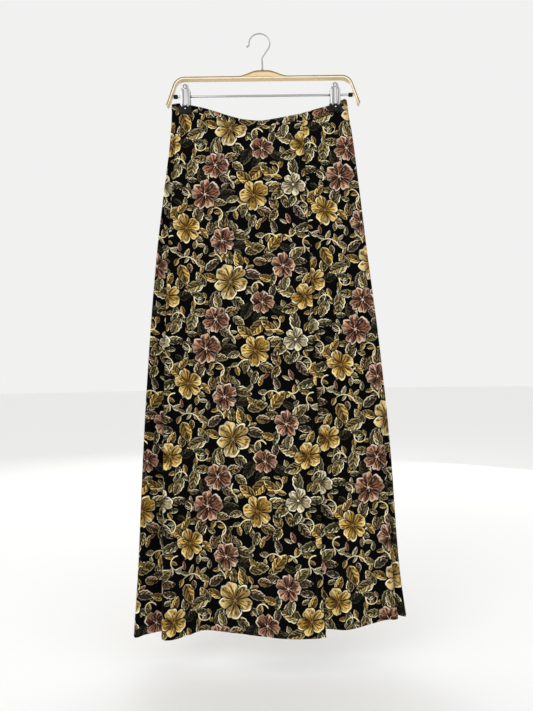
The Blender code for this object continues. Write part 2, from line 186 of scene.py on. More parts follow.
groups = {}  # shader groups by name, used in several materials or several times in one


def newGroup(name, inputs, outlets):
    # a shader node group with sockets of the kinds Float, Vector or Color, its inputs as fields by
    # name, and a function that plugs its outputs
    tree = groups[name] = bpy.data.node_groups.new(name, "ShaderNodeTree")
    for way, sockets in (("INPUT", inputs), ("OUTPUT", outlets)):
        for label, kind in sockets.items():
            tree.interface.new_socket(label, in_out=way, socket_type="NodeSocket" + kind)
    given = tree.nodes.new("NodeGroupInput").outputs
    leaving = tree.nodes.new("NodeGroupOutput").inputs

    def put(**values):
        for label, value in values.items():
            plug(leaving[label], value)

    return {label: Field(tree, given[label]) for label in inputs}, put


def callGroup(name, **values):
    # the outputs of a group placed in the tree of its inputs
    return outputs(addNode(treeOf(values.values()), "Group", values, node_tree=groups[name]))


def newMaterial(name, values):
    # a material, its tree and its Principled shader, with values that are the same all over
    material = bpy.data.materials.new(name)
    material.use_nodes = True
    shader = material.node_tree.nodes["Principled BSDF"]
    for label, value in values.items():
        plug(shader.inputs[label], value)
    return material, material.node_tree, shader


def bumped(shader, height, strength, depth):
    # the shader's normal tilted by a height
    values = {"Strength": strength, "Distance": depth, "Height": height}
    plug(shader.inputs["Normal"], addNode(height.tree, "Bump", values, out="Normal"))


# camera and light

photoCamera = {
    "place": (-1.6, -1011.3, -665.2),
    "yaw": -0.267,
    "pitch": -2.594,
    "roll": -0.838,
    "focal": 540.0,  # pixels, in a frame 711 pixels high
    "frameHeight": 711.0,
    "sensor": 36.0,
}


def turn(axis, degrees):
    # rotation matrix about one axis
    return np.array(Matrix.Rotation(np.radians(degrees), 3, axis))


def makeCamera(look):
    data = bpy.data.cameras.new("photoCamera")
    data.sensor_width = look["sensor"]
    data.lens = look["focal"] / look["frameHeight"] * look["sensor"]
    data.clip_start = 0.05
    camera = bpy.data.objects.new("photoCamera", data)
    # rows: right, down and forward of the camera, in a frame with x right, y down, z into the wall
    rows = turn("Z", look["roll"]) @ turn("X", look["pitch"]) @ turn("Y", look["yaw"])
    right, down, forward = (np.array([row[0], row[2], -row[1]]) for row in rows)
    pose = Matrix(np.stack([right, -down, -forward], 1).tolist()).to_4x4()
    pose.translation = np.array(look["place"]) * mm
    camera.matrix_world = pose
    bpy.context.scene.collection.objects.link(camera)
    bpy.context.scene.camera = camera


studio = {
    "floorDrop": 60.0,  # below the lowest hem
    "floorRadius": 30.0,
    "paper": (0.93, 0.93, 0.92, 1.0),
    "sky": (1.0, 1.0, 0.995, 1.0),
    "skyStrength": 0.88,
    # name, place in metres, size in metres, power in watts, colour
    "lamps": (
        ("keyLamp", (-1.5, -2.1, 0.75), 1.7, 15.0, (1.0, 0.985, 0.96)),
        ("fillLamp", (1.9, -1.8, -0.1), 1.8, 5.0, (0.97, 0.985, 1.0)),
        ("backLamp", (-0.9, 2.3, 0.6), 1.7, 13.0, (1.0, 0.99, 0.97)),
        ("backFillLamp", (1.6, 1.9, -0.6), 1.6, 5.0, (0.98, 0.99, 1.0)),
    ),
    "aim": (0.0, 0.0, -0.55),
}


def makeStudio(look):
    scene = bpy.context.scene
    world = bpy.data.worlds.new("paleStudio")
    world.use_nodes = True
    sky = world.node_tree.nodes["Background"]
    sky.inputs["Color"].default_value = look["sky"]
    sky.inputs["Strength"].default_value = look["skyStrength"]
    scene.world = world
    scene.view_settings.view_transform = "Standard"
    angle = np.linspace(0, 2 * np.pi, 64, endpoint=False)
    rim = np.stack([np.cos(angle), np.sin(angle), 0 * angle], 1) * look["floorRadius"]
    rim[:, 2] = cadBox[0][2] - look["floorDrop"] * mm
    mesh = bpy.data.meshes.new("floor")
    mesh.from_pydata(rim.tolist(), [], [list(range(len(rim)))])
    matt = {"Base Color": look["paper"], "Roughness": 0.9, "Specular IOR Level": 0.1}
    mesh.materials.append(newMaterial("paleFloor", matt)[0])
    floor = bpy.data.objects.new("floor", mesh)
    scene.collection.objects.link(floor)
    for name, place, size, power, colour in look["lamps"]:
        lamp = bpy.data.lights.new(name, "AREA")
        lamp.shape = "DISK"
        lamp.size, lamp.energy, lamp.color = size, power, colour
        holder = bpy.data.objects.new(name, lamp)
        away = Matrix.Translation(place).translation - Matrix.Translation(look["aim"]).translation
        holder.rotation_euler = away.to_track_quat("Z", "Y").to_euler()
        holder.location = place
        scene.collection.objects.link(holder)


makeCamera(photoCamera)
makeStudio(studio)
print("camera and studio ready")

# shapes shared by the cloth pieces


def through(rows, at):
    # smooth curve through (place, value) rows with no overshoot: on each span a cubic whose slope at
    # a row is the harmonic mean of the slopes beside it, and level where they differ in sign
    x, y = np.array(rows, float).T
    step = np.diff(x)
    slope = np.diff(y) / step
    product = slope[:-1] * slope[1:]
    total = np.where(product > 0, slope[:-1] + slope[1:], 1.0)
    tangent = np.concatenate([slope[:1], np.where(product > 0, 2 * product / total, 0.0), slope[-1:]])
    at = np.clip(at, x[0], x[-1])
    i = np.clip(np.searchsorted(x, at, side="right") - 1, 0, len(x) - 2)
    return cubic((at - x[i]) / step[i], y[i], step[i] * tangent[i], y[i + 1], step[i] * tangent[i + 1])


def cubic(t, start, startSlope, end, endSlope):
    # the cubic with these values and slopes at t = 0 and t = 1
    return (
        (2 * t**3 - 3 * t**2 + 1) * start
        + (t**3 - 2 * t**2 + t) * startSlope
        + (3 * t**2 - 2 * t**3) * end
        + (t**3 - t**2) * endSlope
    )


def ease(value, low, high):
    # 0 below low, 1 above high, and 3t^2 - 2t^3 between them
    t = np.clip((value - low) / (high - low), 0.0, 1.0)
    return t * t * (3 - 2 * t)


def unit(vectors):
    # each divided by its length
    return vectors / np.maximum(np.linalg.norm(vectors, axis=-1, keepdims=True), 1e-9)


def gridNormals(grid):
    # unit normals of a grid of points: the cross product of its two directions
    return unit(np.cross(np.gradient(grid, axis=0), np.gradient(grid, axis=1)))


def along(grid, axis):
    # running length of the grid's lines in one direction
    step = np.linalg.norm(np.diff(grid, axis=axis), axis=-1)
    start = np.zeros_like(np.take(step, [0], axis=axis))
    return np.concatenate([start, np.cumsum(step, axis=axis)], axis=axis)


def quads(number):
    # four-sided faces between points numbered in a grid
    corners = [number[:-1, :-1], number[1:, :-1], number[1:, 1:], number[:-1, 1:]]
    return np.stack(corners, -1).reshape(-1, 4)


def finishPiece(name, points, faces, materials, slotName, stands, looks=None, corners=None):
    # a smooth mesh object at the origin from points in millimetres, four-sided faces and the numbers
    # of their materials; corners holds named values for each corner of each face, and stands names
    # the solid that the piece stands for
    mesh = bpy.data.meshes.new(name)
    mesh.vertices.add(len(points))
    mesh.vertices.foreach_set("co", (points * mm).astype(np.float32).ravel())
    mesh.loops.add(faces.size)
    mesh.loops.foreach_set("vertex_index", faces.astype(np.int32).ravel())
    mesh.polygons.add(len(faces))
    mesh.polygons.foreach_set("loop_start", np.arange(0, faces.size, 4, dtype=np.int32))
    if looks is not None:
        mesh.polygons.foreach_set("material_index", looks.astype(np.int32))
    mesh.update(calc_edges=True)
    for material in materials:
        mesh.materials.append(material)
    for label, values in (corners or {}).items():
        if values.shape[-1] == 2:
            data = mesh.uv_layers.new(name=label).uv
        else:
            data = mesh.attributes.new(label, "FLOAT_VECTOR", "CORNER").data
        data.foreach_set("vector", values.astype(np.float32).ravel())
    mesh.shade_smooth()
    piece = bpy.data.objects.new(name, mesh)
    bpy.context.scene.collection.objects.link(piece)
    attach(piece, "root")
    if stands:
        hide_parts(stands)
    return piece


# the run of cloth: the over wrap from its free edge, round the left side, the back, round the right
# side, and the under wrap to its own free edge behind the over wrap

skirtRun = {
    # height, left side, right side
    "sides": (
        (-120.0, -170.0, 161.5),
        (-150.0, -170.8, 165.0),
        (-205.0, -174.0, 173.0),
        (-290.0, -184.0, 182.0),
        (-420.0, -199.0, 195.0),
        (-600.0, -213.5, 213.5),
        (-800.0, -225.0, 229.0),
        (-1000.0, -234.0, 238.5),
        (-1120.0, -241.0, 251.0),
    ),
    # place, front height, back height, front depth, back depth
    "waist": (
        (-172.0, -136.4, -136.4, -1.2, 1.2),
        (-156.0, -134.6, -134.6, -1.2, 1.2),
        (-132.0, -139.2, -139.0, -1.2, 1.2),
        (-106.0, -147.0, -146.5, -2.6, 2.0),
        (-74.0, -158.8, -156.0, -5.0, 4.0),
        (-36.0, -171.0, -163.5, -7.0, 5.6),
        (0.0, -174.4, -166.2, -7.6, 6.2),
        (36.0, -168.4, -162.6, -7.0, 5.6),
        (76.0, -160.0, -154.8, -4.6, 3.8),
        (106.0, -149.8, -147.0, -2.4, 2.0),
        (128.0, -143.0, -142.0, -1.2, 1.2),
        (152.0, -133.6, -133.6, -1.2, 1.2),
        (160.0, -130.0, -130.0, -1.2, 1.2),
        (166.0, -133.0, -133.0, -1.2, 1.2),
    ),
    # place at the waist, place at the hem, depth at the hem, start of the fold, rate of its growth;
    # the last two are 0 and 1 where a row leaves them out
    "overLines": (
        (75.6, 101.5, -28.0),
        (52.0, 78.0, -30.0),
        (26.0, 42.0, -31.0),
        (-2.0, 4.0, -23.0),
        (-32.0, -34.0, -13.0),
        (-62.0, -68.0, -3.0),
        (-88.0, -97.0, 5.5),
        (-110.0, -122.0, 7.0),
        (-130.0, -146.0, -12.0),
        (-148.0, -168.0, -28.0, 0.0, 0.8),
        (-160.0, -184.0, -31.5, 0.0, 0.6),
        (-164.8, -191.0, -27.5, 0.0, 0.6),
        (-165.6, -185.0, -20.0, 0.0, 0.6),
        (-166.3, -178.0, -10.0, 0.0, 0.6),
        (-167.0, -181.0, -1.5, 0.0, 0.6),
        (-167.7, -198.0, -1.5, 0.0, 0.6),
        (-168.4, -222.0, -14.0, 0.0, 0.8),
        (-169.2, -236.5, -27.5, 0.0, 0.9),
    ),
    "leftSide": (-170.6, -241.0, -24.0, 0.0, 0.9),
    "backLines": (
        (-167.4, -236.5, -13.5, 0.0, 0.9),
        (-158.0, -224.0, 4.0, 0.0, 0.9),
        (-136.0, -194.0, 15.0),
        (-102.0, -148.0, 24.0),
        (-68.0, -98.0, 14.0),
        (-34.0, -50.0, 25.0),
        (0.0, 0.0, 17.0),
        (34.0, 48.0, 27.0),
        (68.0, 98.0, 16.0),
        (102.0, 146.0, 26.0),
        (134.0, 192.0, 17.0),
        (150.0, 226.0, 18.0),
        (160.4, 245.5, 5.0, 0.1, 1.0),
    ),
    "rightSide": (163.6, 251.0, -6.5, 0.3, 1.0),
    "underLines": (
        (162.2, 247.5, -10.5, 0.5, 1.0),
        (161.4, 239.0, -4.0, 0.6, 1.0),
        (160.6, 231.0, 3.0, 0.6, 1.0),
        (159.8, 225.5, -0.5, 0.6, 1.0),
        (159.0, 228.0, -7.5, 0.6, 1.0),
        (158.2, 235.0, -13.0, 0.4, 1.0),
        (156.0, 229.0, -17.5, 0.1, 1.0),
        (148.0, 213.0, -10.5),
        (130.0, 188.0, -13.0),
        (112.0, 160.0, -20.0),
        (96.0, 138.0, -24.5),
        (80.0, 113.0, -17.0),
        (58.0, 88.0, -16.0),
        (30.0, 52.0, -20.0),
        (-2.0, 12.0, -14.0),
        (-36.0, -30.0, -5.0),
        (-68.0, -62.0, 3.0),
        (-98.0, -88.0, 10.5),
    ),
    # share of the way along the panel, height of the hem
    "overHem": ((0.0, -1126.0), (0.5, -1124.0), (1.0, -1119.5)),
    "backHem": ((0.0, -1119.5), (0.5, -1113.0), (1.0, -1098.0)),
    "underHem": ((0.0, -1098.0), (0.35, -1099.0), (0.6, -1114.0), (1.0, -1118.0)),
    "flatZone": 24.0,  # held flat by the clips
    "lapStep": 2.3,
    "lapFrom": -122.0,
    "lapTo": -104.0,
    "bandHeight": 12.0,
    "bandSeam": 0.45,
}


def column(rows, number):
    return [(row[0], row[number]) for row in rows]


def waistEdge(places, layer):
    # height and depth of the waist edge of one layer
    isBack = layer == "back"
    height = through(column(skirtRun["waist"], 2 if isBack else 1), places)
    depth = through(column(skirtRun["waist"], 4 if isBack else 3), places)
    if layer == "over":
        depth = depth - skirtRun["lapStep"] * ease(places, skirtRun["lapFrom"], skirtRun["lapTo"])
    return height, depth


def sidesAt(height):
    # left and right side of the skirt's outline
    rows = skirtRun["sides"][::-1]
    return through(column(rows, 1), height), through(column(rows, 2), height)


# the lines down the cloth in order, numbered from the over wrap's free edge
overRows, backRows, underRows = (skirtRun[layer + "Lines"] for layer in ("over", "back", "under"))
allRows = (*overRows, skirtRun["leftSide"], *backRows, skirtRun["rightSide"], *underRows)
lineRows = np.array([(*row, 0.0, 1.0)[:5] for row in allRows])
leftAt = len(overRows)
rightAt = leftAt + 1 + len(backRows)
seamLeft, seamRight = leftAt + 1, rightAt - 1
lastLine = len(lineRows) - 1
lineHeight, lineDepth, lineHem = np.zeros((3, lastLine + 1))
spans = (("over", 0, leftAt), ("back", seamLeft, seamRight), ("under", rightAt, lastLine))
for layer, first, last in spans:
    own = slice(first, last + 1)
    lineHeight[own], lineDepth[own] = waistEdge(lineRows[own, 0], layer)
    lineHem[own] = through(skirtRun[layer + "Hem"], np.linspace(0.0, 1.0, last - first + 1))
lineDepth[[leftAt, rightAt]] = 0.0
waistLeft, waistRight = sidesAt(lineHeight)
hemLeft, hemRight = sidesAt(lineHem)
waistShare = (lineRows[:, 0] - waistLeft) / (waistRight - waistLeft)
hemShare = (lineRows[:, 1] - hemLeft) / (hemRight - hemLeft)


def topAndHem(at):
    # heights of the waist edge and the hem at a line number
    numbers = np.arange(lastLine + 1)
    return [through(np.stack([numbers, heights], 1), at) for heights in (lineHeight, lineHem)]


def clothPoints(at, down):
    # middle of the cloth at a line number and a share of the way from the waist edge to the hem. The
    # four lines around the point are moved down to that share, their folds grown from the flat zone
    # on, and a smooth plane curve with root-of-chord knots is drawn through them
    i = np.clip(np.floor(at).astype(int), 0, lastLine - 1)
    near = np.clip(i[..., None] + np.arange(-1, 3), 0, lastLine)
    height, hem = lineHeight[near], lineHem[near]
    share = down[..., None]
    start = np.maximum(lineRows[near, 3], skirtRun["flatZone"] / (height - hem))
    grown = np.clip((share - start) / (1 - start), 0.0, 1.0)
    grown = grown ** lineRows[near, 4] * ease(grown, -0.01, 0.05)
    left, right = sidesAt(height + (hem - height) * share)
    wide = waistShare[near] + (hemShare[near] - waistShare[near]) * grown
    depth = lineDepth[near] + (lineRows[near, 2] - lineDepth[near]) * grown
    points = np.stack([left + wide * (right - left), depth], -1)
    step = np.diff(points, axis=-2)
    span = np.sqrt(np.linalg.norm(step, axis=-1, keepdims=True)) + 1e-6
    speed = step / span
    middle = speed[..., 1, :]
    before = span[..., 1, :] / (span[..., 1, :] + span[..., 0, :])
    after = span[..., 2, :] / (span[..., 2, :] + span[..., 1, :])
    first = np.where(i[..., None] == 0, middle, speed[..., 0, :] * before + middle * (1 - before))
    final = middle * after + speed[..., 2, :] * (1 - after)
    final = np.where(i[..., None] == lastLine - 1, middle, final)
    chord = span[..., 1, :]
    flat = cubic((at - i)[..., None], points[..., 1, :], chord * first, points[..., 2, :], chord * final)
    top, low = topAndHem(at)
    return np.stack([flat[..., 0], flat[..., 1], top + (low - top) * down], -1)


def evenColumns(first, last, step):
    # line numbers spaced evenly by the cloth's running length, taken half way down and at the hem
    fine = np.linspace(first, last, 60 * int(last - first) + 1)
    grid = clothPoints(*np.broadcast_arrays(fine, np.array([[0.5], [1.0]])))
    length = along(grid, 1).mean(0)
    count = int(round(length[-1] / step))
    return np.interp(np.linspace(0.0, length[-1], count + 1), length, fine)


def shareDown(at, below, share):
    # share of the whole drop at so many millimetres under the waist edge, and then so far to the hem
    top, low = topAndHem(at)
    drop = top - low
    return (below + (drop - below) * share) / drop


def dents(across, down, rows):
    # soft creases: depth times exp(-(distance / width)^2) across, times (1 - (2t - 1)^2)^2 down its
    # length, where t runs from 0 to 1 from the crease's start to its end
    total = across[:, -1:]
    moved = np.zeros_like(across)
    for fromShare, toShare, start, end, depth, width in rows:
        t = np.clip((down - start) / (end - start), 0.0, 1.0)
        centre = (fromShare + (toShare - fromShare) * t) * total
        moved += depth * np.exp(-(((across - centre) / width) ** 2)) * (1 - (2 * t - 1) ** 2) ** 2
    return moved


def shell(middle, normal, half):
    # closed wall round a grid: the grid moved out and in along its normals by half its thickness, and
    # between the two a ring of points pushed past the edges by the same amount
    rows, columns = middle.shape[:2]

    def past(edge, inner, amount):
        return edge + unit(edge - inner) * amount[..., None]

    ring = np.empty((rows + 2, columns + 2, 3))
    ring[1:-1, 1:-1] = middle
    ring[0, 1:-1] = past(middle[0], middle[1], half[0])
    ring[-1, 1:-1] = past(middle[-1], middle[-2], half[-1])
    ring[1:-1, 0] = past(middle[:, 0], middle[:, 1], half[:, 0])
    ring[1:-1, -1] = past(middle[:, -1], middle[:, -2], half[:, -1])
    ring[0, 0] = (ring[0, 1] + ring[1, 0]) / 2
    ring[0, -1] = (ring[0, -2] + ring[1, -1]) / 2
    ring[-1, 0] = (ring[-1, 1] + ring[-2, 0]) / 2
    ring[-1, -1] = (ring[-1, -2] + ring[-2, -1]) / 2
    outer, inner = ring.copy(), ring.copy()
    outer[1:-1, 1:-1] += normal * half[..., None]
    inner[1:-1, 1:-1] -= normal * half[..., None]
    count = (rows + 2) * (columns + 2)
    number = np.arange(count).reshape(rows + 2, columns + 2)
    inside = number.copy()
    inside[1:-1, 1:-1] = count + np.arange(rows * columns).reshape(rows, columns)
    points = np.concatenate([outer.reshape(-1, 3), inner[1:-1, 1:-1].reshape(-1, 3)])
    faces = np.concatenate([quads(number), quads(inside)[:, ::-1]])
    return points, faces, np.repeat([0, 1], len(faces) // 2)


# the print: one repeat of flowers, leaves and curls, charted in millimetres and laid over the flat
# cloth. A face carries the motif that lies on it as places measured from the motif's own centre

printChart = {
    "repeat": (262.0, 293.0),
    "seed": 41,
    # right, up, radius, kind, turn. Kinds: 1 mustard, 2 rose, 3 cream, 4 pale gold
    "flowers": (
        (0.0, 5.0, 37.0, 4, 14.0),
        (60.0, -35.0, 24.0, 2, 40.0),
        (140.0, -25.0, 28.0, 1, 75.0),
        (-30.0, -65.0, 28.0, 2, 20.0),
        (-50.0, -120.0, 31.0, 2, 55.0),
        (45.0, -125.0, 31.0, 1, 5.0),
        (120.0, -105.0, 25.0, 3, 30.0),
        (-85.0, -185.0, 30.0, 1, 66.0),
        (-15.0, -210.0, 27.0, 2, 10.0),
        (100.0, -260.0, 26.0, 2, 48.0),
    ),
    # right, up, half length, turn, kind. Kinds: 6 rose bud, 7 mustard bud, 8 cream bud
    "buds": (
        (55.0, -180.0, 11.0, 70.0, 7),
        (64.0, -172.0, 9.0, 35.0, 6),
        (110.0, -170.0, 10.0, 110.0, 6),
        (101.0, -176.0, 8.0, 150.0, 8),
        (95.0, -5.0, 12.0, 80.0, 6),
        (-110.0, -230.0, 8.0, 150.0, 8),
        (-98.0, -222.0, 8.0, 95.0, 6),
        (-84.0, -232.0, 9.0, 60.0, 8),
        (-72.0, -245.0, 8.0, 115.0, 6),
        (-60.0, -238.0, 8.0, 40.0, 8),
        (-55.0, -262.0, 9.0, 70.0, 7),
    ),
    # right, up, radius, turn, share of the circle
    "curls": (
        (52.0, -8.0, 11.0, 20.0, 0.62),
        (78.0, -14.0, 8.0, 200.0, 0.70),
        (-28.0, -160.0, 13.0, 300.0, 0.55),
        (-8.0, -172.0, 9.0, 110.0, 0.70),
        (-85.0, -262.0, 22.0, 20.0, 0.35),
        (80.0, -75.0, 12.0, 250.0, 0.5),
        (160.0, -65.0, 12.0, 10.0, 0.5),
        (10.0, -85.0, 14.0, 140.0, 0.4),
        (75.0, -215.0, 16.0, 30.0, 0.4),
        (135.0, -150.0, 13.0, 300.0, 0.5),
        (-95.0, -60.0, 12.0, 60.0, 0.55),
        (20.0, -255.0, 13.0, 200.0, 0.5),
        (-60.0, -25.0, 11.0, 160.0, 0.6),
        (150.0, -215.0, 12.0, 80.0, 0.55),
    ),
    # more curls at random, with room round the flowers
    "curlTries": 160,
    "curlRoom": 5.0,
    "curlRadius": (9, 19),
    "curlSweep": (0.25, 0.5),
    # small leaves beside each curl: share of its length, side
    "sprigs": ((1.06, 0.0), (0.78, 1.0), (0.55, -1.0), (0.3, 1.0)),
    "sprigOut": 6.5,
    "sprigHalf": (6.0, 8.5),
    "sprigLean": 50.0,
    "sprigTones": (2, 4, 4, 8),
    # leaves round each flower: their middle at these shares of its radius and their half length
    "leavesRound": 5,
    "leafHalf": (12, 19),
    "leafPlace": (0.80, 0.85),
    "leafShift": (-18, 18),
    "leafLean": (-35, 35),
    "leafLap": 0.3,
    # leaves in the gaps: room, longest, tries
    "gapRounds": ((8.0, 19.0, 700), (6.0, 13.0, 1000), (4.4, 8.5, 1200)),
    "gapShare": (1.4, 2.0),
    "gapLeast": 5.5,
    "leafTones": (1, 1, 1, 2, 2, 3, 3, 4, 4, 5, 5),
    "slots": ("flowersA", "flowersB", "curls", "leafA", "leafB", "leafC", "leafD", "leafE"),
    "cell": 2.0,  # of the chart on which motifs of one slot are kept apart
    "faceReach": 3.3,  # half the diagonal of a cloth face, and a little
    "curlReach": 2.0,  # past a curl's radius
    "empty": (9.0, 9.0, 0.0),  # where a face carries no motif
}


def shortest(delta):
    # shortest way between two places of the repeat
    repeat = np.array(printChart["repeat"])
    return (delta + repeat / 2) % repeat - repeat / 2


def heading(degrees):
    # right and up of a step of one in that direction
    return np.array([np.cos(np.radians(degrees)), np.sin(np.radians(degrees))])


def turnedAxes(degrees):
    # the directions right and up after a turn, as columns
    return np.stack([heading(degrees), heading(degrees + 90)], 1)


def room(spot, others, share=1.0):
    # the least distance from a place to round motifs, taken at a share of their size
    return (np.linalg.norm(shortest(others[:, :2] - spot), axis=1) - others[:, 2] * share).min()


def motifBox(x, y, half, turnBy, wide):
    # the cells of the chart that a motif's box covers
    repeat, cell = printChart["repeat"], printChart["cell"]
    sides = [(np.arange(int(size // cell)) + 0.5) * size / int(size // cell) for size in repeat]
    delta = shortest(np.stack(np.meshgrid(*sides, indexing="ij"), -1) - np.array([x, y]))
    off = np.abs(delta @ turnedAxes(turnBy))
    reach = printChart["faceReach"] + cell / 2
    return (off[..., 0] < half + reach) & (off[..., 1] < half * wide + reach)


leafLook = {
    "width": 0.47,  # half the width over half the length, at the least
    "spread": 0.15,
    "budLess": 0.12,
    "taper": 0.22,  # wider at the base by this share, and narrower at the tip
    "wave": 0.06,
    "bend": 0.2,
    "halo": 0.13,
    "soft": 0.012,  # of the outline
    "strokes": 2.2,
    "brush": 0.88,
    "warm": 0.75,
    "vein": 0.85,
    "midrib": (0.07, 0.02),
    "rim": (0.11, 0.06),  # inside the outline
}


def leafWidth(code):
    # half the width that a leaf or a narrower bud takes up over half its length: 0.04 of it more for
    # its wavy edge, and 0.20 for its bend and its halo
    look = leafLook
    other = (code % 1 * 7.3) % 1
    return (look["width"] + look["spread"] * other - look["budLess"] * (code > 6)) * 1.04 + 0.20


class MotifChart:
    # motifs of the repeat, each kept in the first slot where no other motif's box meets its own
    def __init__(self, chart):
        self.chart = chart
        self.draw = np.random.default_rng(chart["seed"])
        self.slots = {name: [] for name in chart["slots"]}
        self.taken = {name: 0 for name in chart["slots"]}
        self.flowers = np.array(chart["flowers"])
        self.leaves = []

    def place(self, start, motif, wide):
        # keeps a motif in a slot whose name starts so, if one has room for it
        box = motifBox(*motif[:4], wide)
        for name in self.slots:
            if name.startswith(start) and not np.any(self.taken[name] & box):
                self.taken[name] = self.taken[name] | box
                self.slots[name].append(motif)
                return True
        return False

    def addLeaf(self, x, y, half, turnBy, kind):
        # the code is the kind and a share that varies its form
        code = kind + self.draw.uniform(0.05, 0.95)
        if self.place("leaf", (x, y, half, turnBy, code), leafWidth(code)):
            self.leaves.append((x, y, half))

    def addCharted(self):
        # the flowers and buds, where the chart has them
        for x, y, radius, kind, turnBy in self.chart["flowers"]:
            self.place("flowers", (x, y, radius, turnBy, kind + self.draw.uniform(0.05, 0.95)), 1.0)
        for x, y, half, turnBy, kind in self.chart["buds"]:
            self.addLeaf(x, y, half, turnBy, kind)

    def addCurls(self):
        # the charted curls and more of them between the flowers, with small leaves along each
        chart, draw = self.chart, self.draw
        curls = list(chart["curls"])
        for _ in range(chart["curlTries"]):
            spot = draw.uniform((0, 0), chart["repeat"])
            if room(spot, self.flowers) > chart["curlRoom"]:
                radius = draw.integers(*chart["curlRadius"])
                curls.append((*spot, radius, draw.uniform(0, 360), draw.uniform(*chart["curlSweep"])))
        for x, y, radius, turnBy, sweep in curls:
            if not self.place("curls", (x, y, radius, turnBy, radius + sweep), 1.0):
                continue
            for share, side in chart["sprigs"]:
                angle = turnBy + 360 * sweep * share
                spot = (x, y) + (radius + side * chart["sprigOut"]) * heading(angle)
                half, lean = draw.uniform(*chart["sprigHalf"]), angle + 90 - side * chart["sprigLean"]
                self.addLeaf(*spot, half, lean, draw.choice(chart["sprigTones"]))

    def addRound(self):
        # leaves that start under the flowers' edges, where no other flower is close
        chart, draw = self.chart, self.draw
        inward, outward = chart["leafPlace"]
        for x, y, radius, _, _ in chart["flowers"]:
            start = draw.uniform(0, 360)
            for number in range(chart["leavesRound"]):
                angle = start + number * 360 / chart["leavesRound"] + draw.uniform(*chart["leafShift"])
                half = draw.uniform(*chart["leafHalf"])
                spot = (x, y) + (radius * inward + half * outward) * heading(angle)
                if room(spot, self.flowers) > -chart["leafLap"] * half:
                    lean = angle + draw.uniform(*chart["leafLean"])
                    self.addLeaf(*spot, half, lean, draw.choice(chart["leafTones"]))

    def addGaps(self):
        # leaves in the gaps, the roomiest first, as long as the gap lets them be
        chart, draw = self.chart, self.draw
        for least, most, tries in chart["gapRounds"]:
            for _ in range(tries):
                spot = draw.uniform((0, 0), chart["repeat"])
                free = min(room(spot, self.flowers), room(spot, np.array(self.leaves), 0.5))
                if free > least:
                    half = float(np.clip(free * draw.uniform(*chart["gapShare"]), chart["gapLeast"], most))
                    self.addLeaf(*spot, half, draw.uniform(0, 360), draw.choice(chart["leafTones"]))


chart = MotifChart(printChart)
chart.addCharted()
chart.addCurls()
chart.addRound()
chart.addGaps()
motifs = chart.slots


def printCorners(flat, corner):
    # for each slot, each face's corners measured from the centre of the motif under the face, turned
    # with it and, but for the curls, divided by its size; then the motif's code
    centres = flat[corner].mean(1)
    found = {}
    for name, rows in motifs.items():
        values = np.tile(np.array(printChart["empty"], np.float32), (len(corner), 4, 1))
        isCurl, isLeaf = name == "curls", name.startswith("leaf")
        reach = printChart["faceReach"] + isCurl * printChart["curlReach"]
        for x, y, size, turnBy, code in rows:
            wide = leafWidth(code) if isLeaf else 1.0
            axes = turnedAxes(turnBy)
            delta = shortest(centres - np.array([x, y]))
            off = np.abs(delta @ axes)
            on = (off[:, 0] < size + reach) & (off[:, 1] < size * wide + reach)
            own = delta[on][:, None] + flat[corner[on]] - centres[on][:, None]
            values[on, :, :2] = own @ axes / (1.0 if isCurl else size)
            values[on, :, 2] = code
        found[name] = values
    return found


# colours, 0 to 255
inks = {"ground": (2, 2, 3), "gold": (178, 138, 60), "vein": (8, 6, 5), "curl": (236, 224, 176)}
ink = {name: paint(*colour) for name, colour in inks.items()}
tones = {"flower": ("Light", "Mid", "Dark", "Rim", "Centre"), "leaf": ("Body", "Shade", "Edge")}
# one row for each kind, in the order of the tones
printColours = {
    "flower": (
        ((236, 206, 128), (194, 149, 58), (40, 22, 8), (246, 232, 182), (138, 104, 78)),  # mustard
        ((204, 160, 128), (164, 110, 82), (26, 8, 8), (230, 210, 186), (214, 190, 168)),  # rose
        ((236, 226, 190), (194, 178, 134), (34, 25, 16), (248, 242, 216), (236, 228, 206)),  # cream
        ((228, 200, 132), (184, 149, 75), (42, 26, 12), (250, 242, 210), (150, 112, 84)),  # pale gold
    ),
    "leaf": (
        ((123, 112, 70), (22, 20, 13), (250, 242, 206)),
        ((165, 150, 99), (37, 32, 20), (252, 248, 220)),
        ((114, 97, 75), (22, 18, 15), (232, 216, 182)),
        ((196, 154, 73), (44, 29, 12), (250, 232, 176)),
        ((54, 50, 36), (9, 9, 7), (98, 90, 66)),
        ((160, 104, 80), (78, 30, 26), (236, 214, 186)),  # rose bud
        ((204, 160, 66), (112, 72, 26), (246, 230, 176)),  # mustard bud
        ((210, 196, 150), (116, 100, 66), (248, 242, 216)),  # cream bud
    ),
}


flowerLook = {
    "petals": 5,
    "heart": 0.46,  # how far out two petals part
    "lean": 0.17,
    "notch": 0.10,
    "frill": 0.022,
    "roseFrill": 0.02,
    "least": 0.84,  # of the petals' reach
    "soft": 0.012,  # of the outline
    "veins": 17.0,
    "vein": 0.95,
    "shade": (0.50, 0.12),  # where the heart darkens
    "rim": (0.86, 0.93),
    "stamens": 6.0,
    "centre": (0.10, 0.05),
    "halo": (1.10, 1.06),
}


